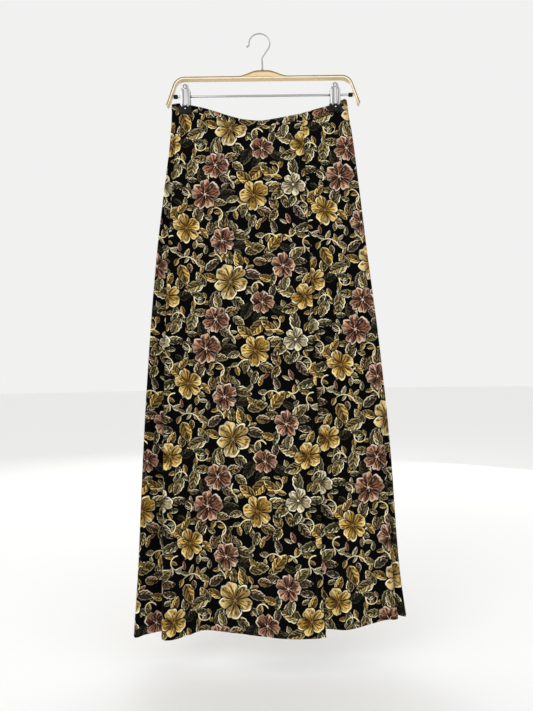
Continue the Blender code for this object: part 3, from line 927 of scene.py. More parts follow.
def buildFlower(look):
    # five petals. A petal's edge stands at 0.46 + 0.54 cos^0.38 of its own angle, or cos^0.26 for a
    # rose, less a notch at its tip; the petals differ in width, reach and tone, are streaked from the
    # heart outwards by narrow dark veins, and have a pale rim that is brighter on one side
    sockets = {"Local": "Vector"} | {tone: "Color" for tone in tones["flower"]}
    given, put = newGroup("flower", sockets, {"Colour": "Color", "Mask": "Float"})
    x, y, code = split(given["Local"])
    seed = calc("FRACT", code)
    isRose = calc("COMPARE", code, 2.5, 0.5)
    far = distance(x, y)
    angle = calc("ARCTAN2", y, x)
    lean = calc("SINE", seed * 6.3 + angle * 2.0)
    turns = angle * (look["petals"] / (2 * np.pi)) + 6.0 + lean * look["lean"]
    petal = calc("FLOOR", turns)
    own = calc("FRACT", (seed * 5.7 + petal) * 0.618)
    # across the petal from -0.5 to 0.5, and out along it from 0 to 1 at its edge
    aside = calc("FRACT", turns) - 0.5
    away = calc("ABSOLUTE", aside)
    bow = calc("MAXIMUM", calc("COSINE", aside * np.pi), 0.001)
    edge = calc("POWER", bow, isRose * -0.12 + 0.38) * (1.0 - look["heart"]) + look["heart"]
    ripple = calc("SINE", angle * 13.0 + seed * 40.0) * (isRose * look["roseFrill"] + look["frill"])
    notch = ramp(away, 0.12, 0.0) * own * look["notch"]
    edge = (edge + ripple - notch) * (own * (1.0 - look["least"]) + look["least"])
    share = far / edge
    # the brush's tones: broad and fine noise drawn out along each petal
    broad = noise(shifted(join(angle * 3.0, far * 1.6, petal), seed), 1.7, 3.0, 0.6)
    fine = noise(shifted(join(angle * 5.0, far * 1.1, petal), seed), 1.5, 2.0, 0.6)
    light = ramp(share, 0.35, 0.85) * ramp(broad, 0.48, 0.58) * ramp(own, 0.95, 0.45)
    low = isRose * 0.02 + 0.49
    gleam = ramp(fine, 0.56, 0.64) * ramp(share, 0.35, 0.7)
    streak = calc("COSINE", broad * 9.0 + angle * look["veins"])
    reach = fine * 1.5 + 0.05
    strokes = ramp(streak, 0.25, 0.8) * ramp(share, reach, reach * 0.75)
    tucked = ramp(aside, 0.02, 0.40) * ramp(broad, 0.40, 0.52) * (isRose * 0.45 + 0.45)
    between = ramp(away, 0.39, 0.46) * ramp(far, 0.1, 0.3)
    side = ramp(aside * (own - 0.5), -0.02, 0.08)
    rim = ramp(share, *look["rim"]) * (side * 0.8 + 0.2)
    spoke = ramp(calc("COSINE", angle * look["stamens"] + far * 7.0), 0.80, 0.97)
    heart = isRose * 0.06 + lean * 0.08 + 0.22
    stamen = spoke * ramp(far, heart, heart * 0.6) * (isRose * 0.6 + 0.25)
    colour = layered(
        given["Mid"],
        (light, given["Light"]),
        (ramp(own, 0.62, 0.72) * 0.38, given["Dark"]),
        (ramp(broad, low, low - 0.08) * 0.85, given["Dark"]),
        (gleam * 0.7, given["Rim"]),
        (strokes * look["vein"], given["Dark"]),
        (ramp(share, *look["shade"]) * 0.85, given["Dark"]),
        (tucked, given["Dark"]),
        (between, ink["vein"]),
        (rim, given["Rim"]),
        (stamen, given["Rim"]),
        (ramp(far, *look["centre"]), given["Centre"]),
        (ramp(far, edge - look["soft"], edge + look["soft"]), ink["ground"]),
    )
    put(Colour=colour, Mask=ramp(share, *look["halo"]))


def buildLeaf(look):
    # a pointed leaf from x -1 to 1, as wide as (1 - x^2)^0.66 and fuller towards its base, bent, in
    # two tones, crossed by slanting strokes, dark and pale by turns, with an uneven pale edge
    sockets = {"Local": "Vector"} | {tone: "Color" for tone in (*tones["leaf"], "Gold", "Vein")}
    given, put = newGroup("leaf", sockets, {"Colour": "Color", "Mask": "Float"})
    x, y, code = split(given["Local"])
    seed = calc("FRACT", code)
    other = calc("FRACT", seed * 7.3)
    bow = calc("MAXIMUM", 1.0 - x * x, 0.0)
    aside = y - bow * (seed - 0.5) * look["bend"]
    away = calc("ABSOLUTE", aside)
    isBud = calc("GREATER_THAN", code, 6.0)
    plump = other * look["spread"] + isBud * -look["budLess"] + look["width"]
    wave = calc("SINE", x * 13.0 + seed * 30.0)
    wide = calc("POWER", bow, 0.66) * (plump * (x * -look["taper"] + 1.0)) * (wave * look["wave"] + 1.0)
    halo = wide + look["halo"]
    half = ramp(aside, -0.03, 0.03)
    bright = half * 0.75 + 0.25
    # strokes and the brush's grain slant from the midrib towards the tip
    slant = away * -1.2 + x
    grain = noise(shifted(join(slant * 3.4, y * 1.6, code), seed), 1.7, 2.5, 0.6)
    isGreen = calc("LESS_THAN", code, 4.0)
    warm = ramp(grain, 0.47, 0.40) * ramp(other, 0.2, 0.7) * isGreen
    swing = calc("ABSOLUTE", calc("FRACT", slant * look["strokes"] + seed) - 0.5)
    pale = ramp(swing, 0.26, 0.10) * ramp(grain, 0.50, 0.42) * (half * 0.5 + 0.1)
    vein = ramp(swing, 0.32, 0.42) * ramp(grain, 0.34, 0.46) * ramp(away, wide, wide * 0.7)
    uneven = ramp(noise(join(x * 1.6, half, code), 1.3), 0.40, 0.50)
    rim = ramp(away, *(wide - inward for inward in look["rim"]))
    colour = layered(
        given["Shade"],
        (bright, given["Body"]),
        (ramp(grain, 0.49, 0.57) * look["brush"], given["Shade"]),
        (warm * look["warm"], given["Gold"]),
        (pale, given["Edge"]),
        (vein * look["vein"], given["Vein"]),
        (ramp(away, *look["midrib"]) * 0.9, given["Vein"]),
        (rim * bright * uneven, given["Edge"]),
        (ramp(away, wide - look["soft"], wide + look["soft"]), ink["ground"]),
    )
    put(Colour=colour, Mask=ramp(away, halo, halo - 0.03) * calc("GREATER_THAN", bow, 0.001))


curlLook = {"width": 1.4, "taper": 0.45, "start": (-0.03, 0.06), "soft": 0.5}


def buildCurl(look):
    # a stroke along part of a circle, whose radius is the whole part of the code and whose share of
    # the circle is the rest; it is rounded at its start and tapers as (1 - t)^0.45 to its end
    given, put = newGroup("curl", {"Local": "Vector"}, {"Mask": "Float"})
    x, y, code = split(given["Local"])
    part = calc("FRACT", calc("ARCTAN2", y, x) * (1 / (2 * np.pi)) + 1.0)
    way = part / calc("FRACT", code)
    off = calc("ABSOLUTE", distance(x, y) - calc("FLOOR", code))
    left = calc("MAXIMUM", 1.0 - way, 0.0)
    wide = calc("POWER", left, look["taper"]) * look["width"] * ramp(way, *look["start"])
    isOn = calc("LESS_THAN", way, 1.0) * calc("GREATER_THAN", code, 0.5)
    put(Mask=ramp(off, wide, wide - look["soft"]) * isOn)


def buildWeave():
    # height of a plain weave: over and under, from the product of two waves of the yarns' places,
    # and a slow crinkle that runs with the warp
    given, put = newGroup("weave", {"Place": "Vector", "Yarns": "Float"}, {"Height": "Float"})
    x, y, _ = split(given["Place"])
    across, downward = (calc("SINE", place * given["Yarns"] * np.pi) for place in (x, y))
    crinkle = noise(join(x, y * 0.3, 0.0), 420.0, 2.0, 0.55)
    put(Height=across * downward * 0.25 + crinkle * 1.6)


buildFlower(flowerLook)
buildLeaf(leafLook)
buildCurl(curlLook)
buildWeave()


def motifLayer(tree, kind, slotName, **plain):
    # the mask and colour of one slot's motifs, in the tones that their code picks
    local = attribute(tree, slotName)
    _, _, code = split(local)
    columns = zip(tones[kind], zip(*printColours[kind]))
    picked = {tone: chosen(code, colours) for tone, colours in columns}
    motif = callGroup(kind, Local=local, **picked, **plain)
    return motif["Mask"], motif["Colour"]


def printColour(tree):
    # the whole print: ground, leaves, curls, then flowers, each over the last by its mask
    leaves = [name for name in motifs if name.startswith("leaf")]
    flowers = [name for name in motifs if name.startswith("flowers")]
    layers = [motifLayer(tree, "leaf", name, Gold=ink["gold"], Vein=ink["vein"]) for name in leaves]
    layers.append((callGroup("curl", Local=attribute(tree, "curls"))["Mask"], ink["curl"]))
    layers += [motifLayer(tree, "flower", name) for name in flowers]
    return layered(ink["ground"], *layers)


clothLook = {
    "roughness": 0.82,
    "specular": 0.05,
    "sheen": 0.01,
    "yarn": 2100.0,  # yarns a metre
    "bumpDepth": 0.00012,
    "bumpStrength": 0.35,
    "reverseFade": 0.42,
    "reverseTint": paint(96, 88, 70),
}


def clothMaterial(name, isReverse):
    # the print on rough cloth with a fine weave, faded towards grey on the reverse
    look = clothLook
    matt = {"Roughness": look["roughness"], "Specular IOR Level": look["specular"]}
    material, tree, shader = newMaterial(name, matt | {"Sheen Weight": look["sheen"]})
    colour = printColour(tree)
    if isReverse:
        colour = layered(colour, (look["reverseFade"], look["reverseTint"]))
    plug(shader.inputs["Base Color"], colour)
    place = addNode(tree, "UVMap", {}, uv_map="cloth")
    height = callGroup("weave", Place=place, Yarns=look["yarn"])["Height"]
    bumped(shader, height, look["bumpStrength"], look["bumpDepth"])
    return material


clothFaces = (clothMaterial("printedCloth", False), clothMaterial("printedClothReverse", True))
print("print and cloth materials ready:", {name: len(rows) for name, rows in motifs.items()})


# panels of cloth. Each is a grid of points, its print laid flat along it from one straight grain line

overWrap = {
    "first": 0,
    "last": seamLeft,
    "trim": (0.0, 0.5),  # taken by a side seam at its first and last line
    "freeEdge": "first",
    "isGathered": False,
    "grainLine": 3.0,
    "printShift": (58.0, -100.0),
    "tilt": 0.007,
    # share across at the top and at the foot, start, end, depth outwards, width in millimetres
    "dents": (
        (0.07, 0.05, 0.30, 1.10, -1.3, 11.0),
        (0.13, 0.15, 0.05, 0.62, 0.9, 9.0),
        (0.21, 0.20, 0.45, 1.15, 1.4, 14.0),
        (0.28, 0.25, 0.02, 0.40, -0.8, 8.0),
        (0.33, 0.35, 0.58, 1.10, -1.5, 12.0),
        (0.40, 0.41, 0.12, 0.80, 0.8, 10.0),
        (0.47, 0.44, 0.66, 1.12, 1.3, 10.0),
        (0.52, 0.55, 0.01, 0.35, -0.7, 7.0),
        (0.58, 0.57, 0.35, 1.05, -1.0, 13.0),
        (0.62, 0.60, 0.00, 0.14, 0.8, 4.0),
        (0.65, 0.68, 0.00, 0.20, -0.7, 4.5),
        (0.72, 0.70, 0.00, 0.12, 0.6, 3.5),
        (0.77, 0.74, 0.50, 1.10, 0.8, 7.0),
        (0.90, 0.92, 0.40, 1.00, -0.7, 6.0),
    ),
}
backPanel = {
    "first": seamLeft,
    "last": seamRight,
    "trim": (0.5, 0.5),
    "freeEdge": None,
    "isGathered": True,
    "grainLine": 25.0,
    "printShift": (30.0, -60.0),
    "tilt": 0.0,
    "dents": (
        (0.10, 0.12, 0.20, 1.10, 1.1, 10.0),
        (0.17, 0.15, 0.00, 0.34, -0.8, 6.0),
        (0.24, 0.26, 0.50, 1.12, -1.3, 13.0),
        (0.33, 0.31, 0.04, 0.55, 0.9, 8.0),
        (0.41, 0.43, 0.30, 0.95, -0.9, 11.0),
        (0.49, 0.47, 0.62, 1.15, 1.4, 12.0),
        (0.55, 0.57, 0.02, 0.42, -0.8, 7.0),
        (0.63, 0.60, 0.40, 1.08, 1.0, 10.0),
        (0.70, 0.73, 0.10, 0.70, 0.8, 9.0),
        (0.78, 0.76, 0.55, 1.12, -1.4, 12.0),
        (0.86, 0.88, 0.00, 0.26, 0.7, 5.0),
        (0.92, 0.90, 0.30, 1.00, -0.8, 8.0),
    ),
}
underWrap = {
    "first": seamRight,
    "last": lastLine,
    "trim": (0.5, 0.0),
    "freeEdge": "last",
    "isGathered": False,
    "grainLine": 42.0,
    "printShift": (-68.0, -131.0),
    "tilt": -0.022,
    "dents": (
        (0.19, 0.20, 0.00, 0.30, -0.5, 5.0),
        (0.24, 0.26, 0.40, 1.10, 0.8, 8.0),
        (0.30, 0.29, 0.02, 0.22, 0.6, 4.0),
        (0.36, 0.38, 0.25, 0.90, -0.9, 9.0),
        (0.45, 0.43, 0.55, 1.12, 1.2, 11.0),
        (0.52, 0.54, 0.10, 0.60, -0.6, 8.0),
        (0.63, 0.61, 0.50, 1.10, -1.1, 12.0),
        (0.72, 0.74, 0.15, 0.80, 0.7, 10.0),
        (0.83, 0.80, 0.45, 1.08, 0.9, 11.0),
        (0.92, 0.94, 0.30, 1.00, -0.7, 9.0),
    ),
}
panelMesh = {
    "step": 4.3,
    "rowStep": 4.4,
    "half": 0.3,  # half the thickness of the cloth
    "turnHalf": 0.5,  # where it is turned in twice at the hem and the free edge
    "hem": 10.0,
    "hemStep": 0.8,  # over which the cloth thickens, up and down
    "edgeRow": 1.0,  # above the lowest row
    "edgeTurn": 12.0,
    "turnEnds": (11.0, 14.0),
    "rowRoom": 1.2,  # between an even row and a closer one
    "calm": 0.05,  # share of the drop over which the crinkle starts
    "sideCalm": (2.0, 14.0),  # from the side edges, over which all creases do
    # small uneven waves: depth, pitches, and the lengths down the cloth over which they wander
    "crinkle": 0.22,
    "waves": (57.0, 41.0, 29.0, 19.0, 13.0),
    "wander": (3, 9),
    "wanderOver": (150, 420),
    "swellOver": (90, 260),
}


def trimEnds(grid, trim):
    # first and last column moved in along the cloth by what the side seam takes
    for end, inward, cut in ((0, 1, trim[0]), (-1, -2, trim[1])):
        grid[:, end] += unit(grid[:, inward] - grid[:, end]) * cut
    return grid


# the elastic at the back
gathered = {"span": 100.0, "end": 12.0, "pitch": 9.1, "depth": 1.1, "rise": 0.7, "fade": 95.0}


def gather(grid, at, drop):
    # the elastic's waves, added to the grid's depth and height: a cosine whose pitch and height wander
    # a little along the waist, fading with the drop; it gives back the places at the waist
    look = gathered
    places = np.interp(at, np.arange(lastLine + 1), lineRows[:, 0])
    wander = 1.3 * np.sin(places / 13.0) + 0.8 * np.sin(places / 5.3 + 1.0)
    wave = np.cos(2 * np.pi * (places + wander) / look["pitch"])
    wave = wave * (0.85 + 0.3 * np.sin(places / 7.7 + 0.4))
    inside = 1 - ease(np.abs(places), look["span"] - look["end"], look["span"])
    fade = np.clip(1 - drop / look["fade"], 0.0, 1.0) ** 1.5
    grid[..., 1] += look["depth"] * wave * inside * fade
    grid[..., 2] += look["rise"] * wave * inside * fade
    return places


def crinkled(across, drop, seed):
    # small uneven waves that run with the drop: a sum of sines of the distance across, each wandering
    # slowly on its way down
    draw = np.random.default_rng(seed)
    total = np.zeros_like(across)
    for wave in panelMesh["waves"]:
        slow = draw.uniform(*panelMesh["wanderOver"])
        drift = draw.uniform(*panelMesh["wander"]) * np.sin(drop / slow + draw.uniform(0, 6))
        height = np.sin(drop / draw.uniform(*panelMesh["swellOver"]) + draw.uniform(0, 6))
        total += height * np.sin((across + drift) * 2 * np.pi / wave + draw.uniform(0, 6)) * wave / 40
    return panelMesh["crinkle"] * total


def rowShares(drop):
    # shares of the drop: even rows, and closer ones where the hem's turn starts and near its edge
    turn, step = drop - panelMesh["hem"], panelMesh["hemStep"]
    closer = np.array([turn - step, turn + step, drop - panelMesh["edgeRow"]])
    rows = np.linspace(0.0, drop, int(drop / panelMesh["rowStep"]) + 1)
    rows = rows[np.abs(rows[:, None] - closer).min(1) > panelMesh["rowRoom"]]
    return np.unique(np.concatenate([rows, closer, [drop]]).round(4)) / drop


def thickness(look, across, dropped):
    # half the thickness of the cloth, eased to that of its turned hem and free edge
    thin, thick, step = panelMesh["half"], panelMesh["turnHalf"], panelMesh["hemStep"]
    fromTurn = dropped - dropped[-1:] + panelMesh["hem"]
    half = thin + (thick - thin) * ease(fromTurn, -step, step)
    if look["freeEdge"]:
        away = across if look["freeEdge"] == "first" else across[:, -1:] - across
        half = np.maximum(half, thick - (thick - thin) * ease(away, *panelMesh["turnEnds"]))
    return half


def clothPiece(name, surface, flat, materials, slotName, stands):
    # a thin closed shell on a grid of cloth, and its print at the flat places of the grid's points
    points, faces, looks = shell(surface["grid"], surface["normal"], surface["half"])
    flat = np.pad(flat, ((1, 1), (1, 1), (0, 0)), "edge")
    flat = np.concatenate([flat.reshape(-1, 2), flat[1:-1, 1:-1].reshape(-1, 2)])
    corners = printCorners(flat, faces) | {"cloth": flat[faces] * mm}
    looks = np.minimum(looks, len(materials) - 1)
    return finishPiece(name, points, faces, materials, slotName, stands, looks, corners)


def panel(name, look, stands, seed):
    # the run of cloth between two lines, gathered, then moved along its normals by its creases
    below = skirtRun["bandHeight"] + skirtRun["bandSeam"]
    at = evenColumns(look["first"], look["last"], panelMesh["step"])
    top, low = topAndHem(at)
    shares = rowShares((top - low).mean() - below)
    down = shareDown(at[None], below, shares[:, None])
    grid = trimEnds(clothPoints(np.broadcast_to(at, down.shape), down), look["trim"])
    normal = -gridNormals(grid)
    across, dropped = along(grid, 1), along(grid, 0)
    if look["isGathered"]:
        gather(grid, at, dropped + below)
    side = ease(np.minimum(across, across[:, -1:] - across), *panelMesh["sideCalm"])
    calm = ease(down, 0.0, panelMesh["calm"])
    moved = dents(across, down, look["dents"]) * side
    moved += crinkled(across, dropped, seed) * calm * side
    grid = grid + normal * moved[..., None]
    half = thickness(look, across, dropped)
    surface = {"grid": grid, "normal": -gridNormals(grid), "half": half}
    # flat places in millimetres from the grain line and up from the waist seam, then tilted
    grain = np.array([np.interp(look["grainLine"], at, row) for row in across])
    flat = np.stack([grain[:, None] - across, top[None] - below - dropped], -1)
    flat = flat @ np.array([[1.0, look["tilt"]], [-look["tilt"], 1.0]]) + np.array(look["printShift"])
    return clothPiece(name, surface, flat, clothFaces, "printed_cloth", stands), surface


overPiece, overSurface = panel("overWrap", overWrap, "front_over_wrap", 3)
backPiece, backSurface = panel("backPanel", backPanel, "back_panel", 8)
underPiece, underSurface = panel("underWrap", underWrap, "front_under_wrap", 15)
print("panels ready")


# waistbands: the same cloth folded into a narrow band along the waist edge of each panel

waistband = {
    "rows": (0.0, 0.7, 1.6, 3.2, 6.0, 8.8, 10.4, 11.3, 12.0),  # down from the waist edge
    "half": (0.30, 0.62, 0.78, 0.80, 0.80, 0.80, 0.76, 0.60, 0.34),
    "pucker": 0.16,
    "puckerPitch": 5.3,
    "slowPitch": 8.9,
    # of the elastic at the back
    "ruffle": 1.3,
    "rufflePitch": 5.7,
    "ruffleEnds": (60.0, 110.0),
    "sag": 1.4,
    "sagWidth": 50.0,
    "stitchDrop": 10.0,
}


def band(name, look, stands, step, printAt):
    # a panel's cloth at its waist edge, puckered by two sines along it that are highest half way down
    at = evenColumns(look["first"], look["last"], step)
    rows = np.array(waistband["rows"])
    down = shareDown(at[None], rows[:, None], 0.0)
    grid = trimEnds(clothPoints(np.broadcast_to(at, down.shape), down), look["trim"])
    across, dropped = along(grid, 1), along(grid, 0)
    if look["isGathered"]:
        ruffled(grid, gather(grid, at, dropped), (1 - rows / rows[-1])[:, None])
    normal = -gridNormals(grid)
    wave = np.sin(across * 2 * np.pi / waistband["puckerPitch"] + 2.0 * np.sin(across / 17.0))
    wave += 0.6 * np.sin(across * 2 * np.pi / waistband["slowPitch"] + 1.3)
    middle = np.sin(np.pi * rows / rows[-1])[:, None]
    grid = grid + normal * (waistband["pucker"] * wave * middle)[..., None]
    half = np.broadcast_to(np.array(waistband["half"])[:, None], down.shape)
    surface = {"grid": grid, "normal": normal, "half": half}
    flat = np.array(printAt) - np.stack([across, dropped], -1)
    return clothPiece(name, surface, flat, clothFaces[:1], "waistband_cloth", stands), surface


def ruffled(grid, places, upper):
    # the elastic's ruffle along the band's upper edge, a sine that is highest left of the middle, and
    # the sag of the waist between the clips
    look = waistband
    ruffle = np.sin(places * 2 * np.pi / look["rufflePitch"] + 1.2 * np.sin(places / 11.0))
    ruffle *= look["ruffle"] * (0.4 + 0.8 * np.exp(-(((places + 11.0) / 13.0) ** 2)))
    ruffle *= 1 - ease(np.abs(places), *look["ruffleEnds"])
    sag = look["sag"] * np.exp(-((places / look["sagWidth"]) ** 2))
    grid[..., 1] += 0.7 * ruffle * upper
    grid[..., 2] += (ruffle - sag) * upper


overBand, overBandSurface = band("overBand", overWrap, "waistband_over", 2.4, (150.0, 66.0))
backBand, backBandSurface = band("backBand", backPanel, "waistband_back", 0.95, (90.0, 18.0))
underBand, underBandSurface = band("underBand", underWrap, "waistband_under", 2.4, (20.0, -64.0))
print("waistbands ready")

# sewing: rows of small stitches, each a short bead of thread laid along a line of the cloth

sewing = {
    "length": 2.1,
    "pitch": 2.9,
    "end": 1.0,  # left free at each end of a row
    "sway": 0.25,  # of the stitches' places
    "radius": 0.16,
    "sink": 0.04,
    "rings": ((0.0, 0.35), (0.18, 1.0), (0.82, 1.0), (1.0, 0.35)),  # share of the length, of the radius
    "fromHem": 1.0,  # inside the turned edge
    "fromEdge": 1.5,
    "colour": paint(30, 28, 24),
}


def followed(values, length, place):
    # a line's points or directions at running lengths along it
    return np.stack([np.interp(place, length, values[:, k]) for k in range(3)], 1)


def stitches(lines):
    # each line gives points and outward directions; a stitch is four rings of four points, the end
    # rings smaller, set at even running lengths and lying just on the cloth
    rings = []
    for points, outward in lines:
        length = along(points, 0)
        number = np.arange(int((length[-1] - 2 * sewing["end"]) / sewing["pitch"]))
        start = sewing["end"] + number * sewing["pitch"] + sewing["sway"] * np.sin(number * 1.7)
        places = [start + share * sewing["length"] for share, _ in sewing["rings"]]
        centres = [followed(points, length, place) for place in places]
        way = unit(centres[-1] - centres[0])
        beads = np.empty((len(number), 4, 4, 3))
        for ring, (share, size) in enumerate(sewing["rings"]):
            up = unit(followed(outward, length, places[ring]))
            aside = np.cross(way, up)
            sunk = sewing["sink"] if 0 < share < 1 else sewing["radius"]
            for turned, (a, b) in enumerate(((1, 0), (0, 1), (-1, 0), (0, -1))):
                reach = (aside * a + up * b) * size * sewing["radius"]
                beads[:, ring, turned] = centres[ring] - up * sunk + reach
        rings.append(beads)
    rings = np.concatenate(rings)
    number = np.arange(len(rings) * 16).reshape(-1, 4, 4)
    turned = np.roll(number, -1, axis=2)
    sides = np.stack([number[:, :-1], turned[:, :-1], turned[:, 1:], number[:, 1:]], -1)
    ends = [number[:, 0, ::-1], number[:, 3]]
    return rings.reshape(-1, 3), np.concatenate([sides.reshape(-1, 4), *ends])


def rowLine(surface, drop, side):
    # a line across the panel at so far above its foot, on its outer or inner face
    grid = surface["grid"]
    below = along(grid, 0)
    below = below[-1:] - below
    row = np.abs(below - drop).argmin(0)
    columns = np.arange(grid.shape[1])
    normal = surface["normal"][row, columns] * side
    return grid[row, columns] + normal * surface["half"][row, columns][:, None], normal


def sideLine(surface, inward, freeEdge, side):
    # a line down the panel beside its free edge, in each row between the two columns round its place
    way = 1 if freeEdge == "first" else -1
    grid, normal = surface["grid"][:, ::way], surface["normal"][:, ::way] * side
    away = along(grid, 1)
    row = np.arange(len(grid))
    slot = np.clip((away < inward).sum(1), 1, away.shape[1] - 1)
    low, high = away[row, slot - 1], away[row, slot]
    t = ((inward - low) / (high - low))[:, None]
    points, normals = (data[row, slot - 1] * (1 - t) + data[row, slot] * t for data in (grid, normal))
    return points + normals * panelMesh["turnHalf"], normals


def bandLine(surface, side):
    # a line along the band near its foot
    row = int(np.abs(np.array(waistband["rows"]) - waistband["stitchDrop"]).argmin())
    normal = surface["normal"][row] * side
    return surface["grid"][row] + normal * surface["half"][row][:, None], normal


thread = newMaterial("thread", {"Base Color": sewing["colour"], "Roughness": 0.6})[0]


def sew(name, surface, freeEdge, bandSurface):
    # rows at the hem, along the band and down the free edge, on both faces of the cloth
    lines = [rowLine(surface, panelMesh["hem"] - sewing["fromHem"], side) for side in (1, -1)]
    lines += [bandLine(bandSurface, side) for side in (1, -1)]
    if freeEdge:
        inward = panelMesh["edgeTurn"] - sewing["fromEdge"]
        lines += [sideLine(surface, inward, freeEdge, side) for side in (1, -1)]
    return finishPiece(name, *stitches(lines), [thread], "printed_cloth", None)


overStitches = sew("overStitches", overSurface, overWrap["freeEdge"], overBandSurface)
backStitches = sew("backStitches", backSurface, backPanel["freeEdge"], backBandSurface)
underStitches = sew("underStitches", underSurface, underWrap["freeEdge"], underBandSurface)
print("sewing ready")

# the cut of each panel and band as it shows: its widest and longest, measured along the cloth


def cutSize(surface):
    # width, length and the sum of the faces' areas, in metres
    grid = surface["grid"]
    across, down = np.diff(grid, axis=1), np.diff(grid, axis=0)
    area = np.linalg.norm(np.cross(across[:-1], down[:, :-1]), axis=-1).sum()
    return along(grid, 1)[:, -1].max() * mm, along(grid, 0)[-1].max() * mm, area * mm * mm


def declare(piece, surface):
    # no sheet is larger than its widest by its longest
    width, length, area = cutSize(surface)
    area = min(area, width * length)
    print(f"{piece.name}: cut {width:.3f} by {length:.3f} m, {area:.3f} square metres")


declare(overPiece, overSurface)
declare(backPiece, backSurface)
declare(underPiece, underSurface)
declare(overBand, overBandSurface)
declare(backBand, backBandSurface)
declare(underBand, underBandSurface)
print("sheets declared")


# the hanger. Its pieces are closed runs of rings: a ring's points go once round, and a ladder of
# four-sided faces fills each end


def ringFaces(rows, around, isLoop):
    # faces between rings, and across the first and last ring or, in a loop, between those two
    number = np.arange(rows * around).reshape(rows, around)
    number = np.concatenate([number, number[:, :1]], 1)
    if isLoop:
        return quads(np.concatenate([number, number[:1]]))
    i = np.arange(around // 2 - 1)
    ladder = np.stack([i, i + 1, around - 2 - i, around - 1 - i], 1)
    return np.concatenate([quads(number), ladder, ladder[:, ::-1] + (rows - 1) * around])


def outwards(points, faces):
    # the faces turned over where the volume inside them comes out negative
    a, b, c, d = (points[faces[:, k]] for k in range(4))
    volume = (a * np.cross(b, c)).sum() + (a * np.cross(c, d)).sum()
    return faces if volume > 0 else faces[:, ::-1]


def fromRings(rings, isLoop=False):
    # points and faces of a closed run of rings, its faces pointing outwards
    points = rings.reshape(-1, 3)
    return points, outwards(points, ringFaces(*rings.shape[:2], isLoop))


def joined(parts):
    # several pieces' points and faces as one
    starts = np.cumsum([0] + [len(points) for points, _ in parts])
    faces = [ownFaces + start for (_, ownFaces), start in zip(parts, starts)]
    return np.concatenate([points for points, _ in parts]), np.concatenate(faces)


def circle(around):
    # the angles of a circle's points
    return np.linspace(0, 2 * np.pi, around, endpoint=False)


def wire(route, radii, around=16):
    # a round wire: circles of the given radii, square to a route that lies in the hanger's plane
    route = np.array(route, float)
    way = unit(np.gradient(route, axis=0))
    side = np.stack([-way[:, 2], 0 * way[:, 0], way[:, 0]], 1)
    angle = circle(around)[None, :, None]
    across = np.cos(angle) * side[:, None] + np.sin(angle) * np.array([0, 1, 0])
    return fromRings(route[:, None] + across * np.array(radii, float)[:, None, None])


def roundedBox(centre, size, radius):
    # rounded rectangles stacked up the height, drawn in at the top and bottom along a quarter circle
    half, corner, endSteps = np.array(size) / 2, 4, 4
    angle = np.linspace(0, np.pi / 2, corner + 1)
    angle = np.concatenate([angle + k * np.pi / 2 for k in range(4)])
    signs = np.repeat([(1, 1), (-1, 1), (-1, -1), (1, -1)], corner + 1, axis=0)
    bend = np.radians(np.linspace(14, 90, endSteps))
    reach = np.concatenate([np.sin(bend), np.sin(bend)[::-1]]) * radius
    rise = half[2] - radius + np.cos(bend) * radius
    height = np.concatenate([-rise, rise[::-1]])
    x = signs[:, 0] * (half[0] - radius) + np.cos(angle) * reach[:, None]
    y = signs[:, 1] * (half[1] - radius) + np.sin(angle) * reach[:, None]
    rings = np.stack([x, y, np.broadcast_to(height[:, None], x.shape)], -1)
    return fromRings(rings + np.array(centre))


def disc(centre, depths, radii):
    # circles square to the depth axis
    angle = circle(24)
    flat = np.stack([np.cos(angle), 0 * angle, np.sin(angle)], 1)
    deep = np.array([0, 1, 0]) * np.array(depths)[:, None, None]
    return fromRings(flat * np.array(radii)[:, None, None] + deep + np.array(centre))


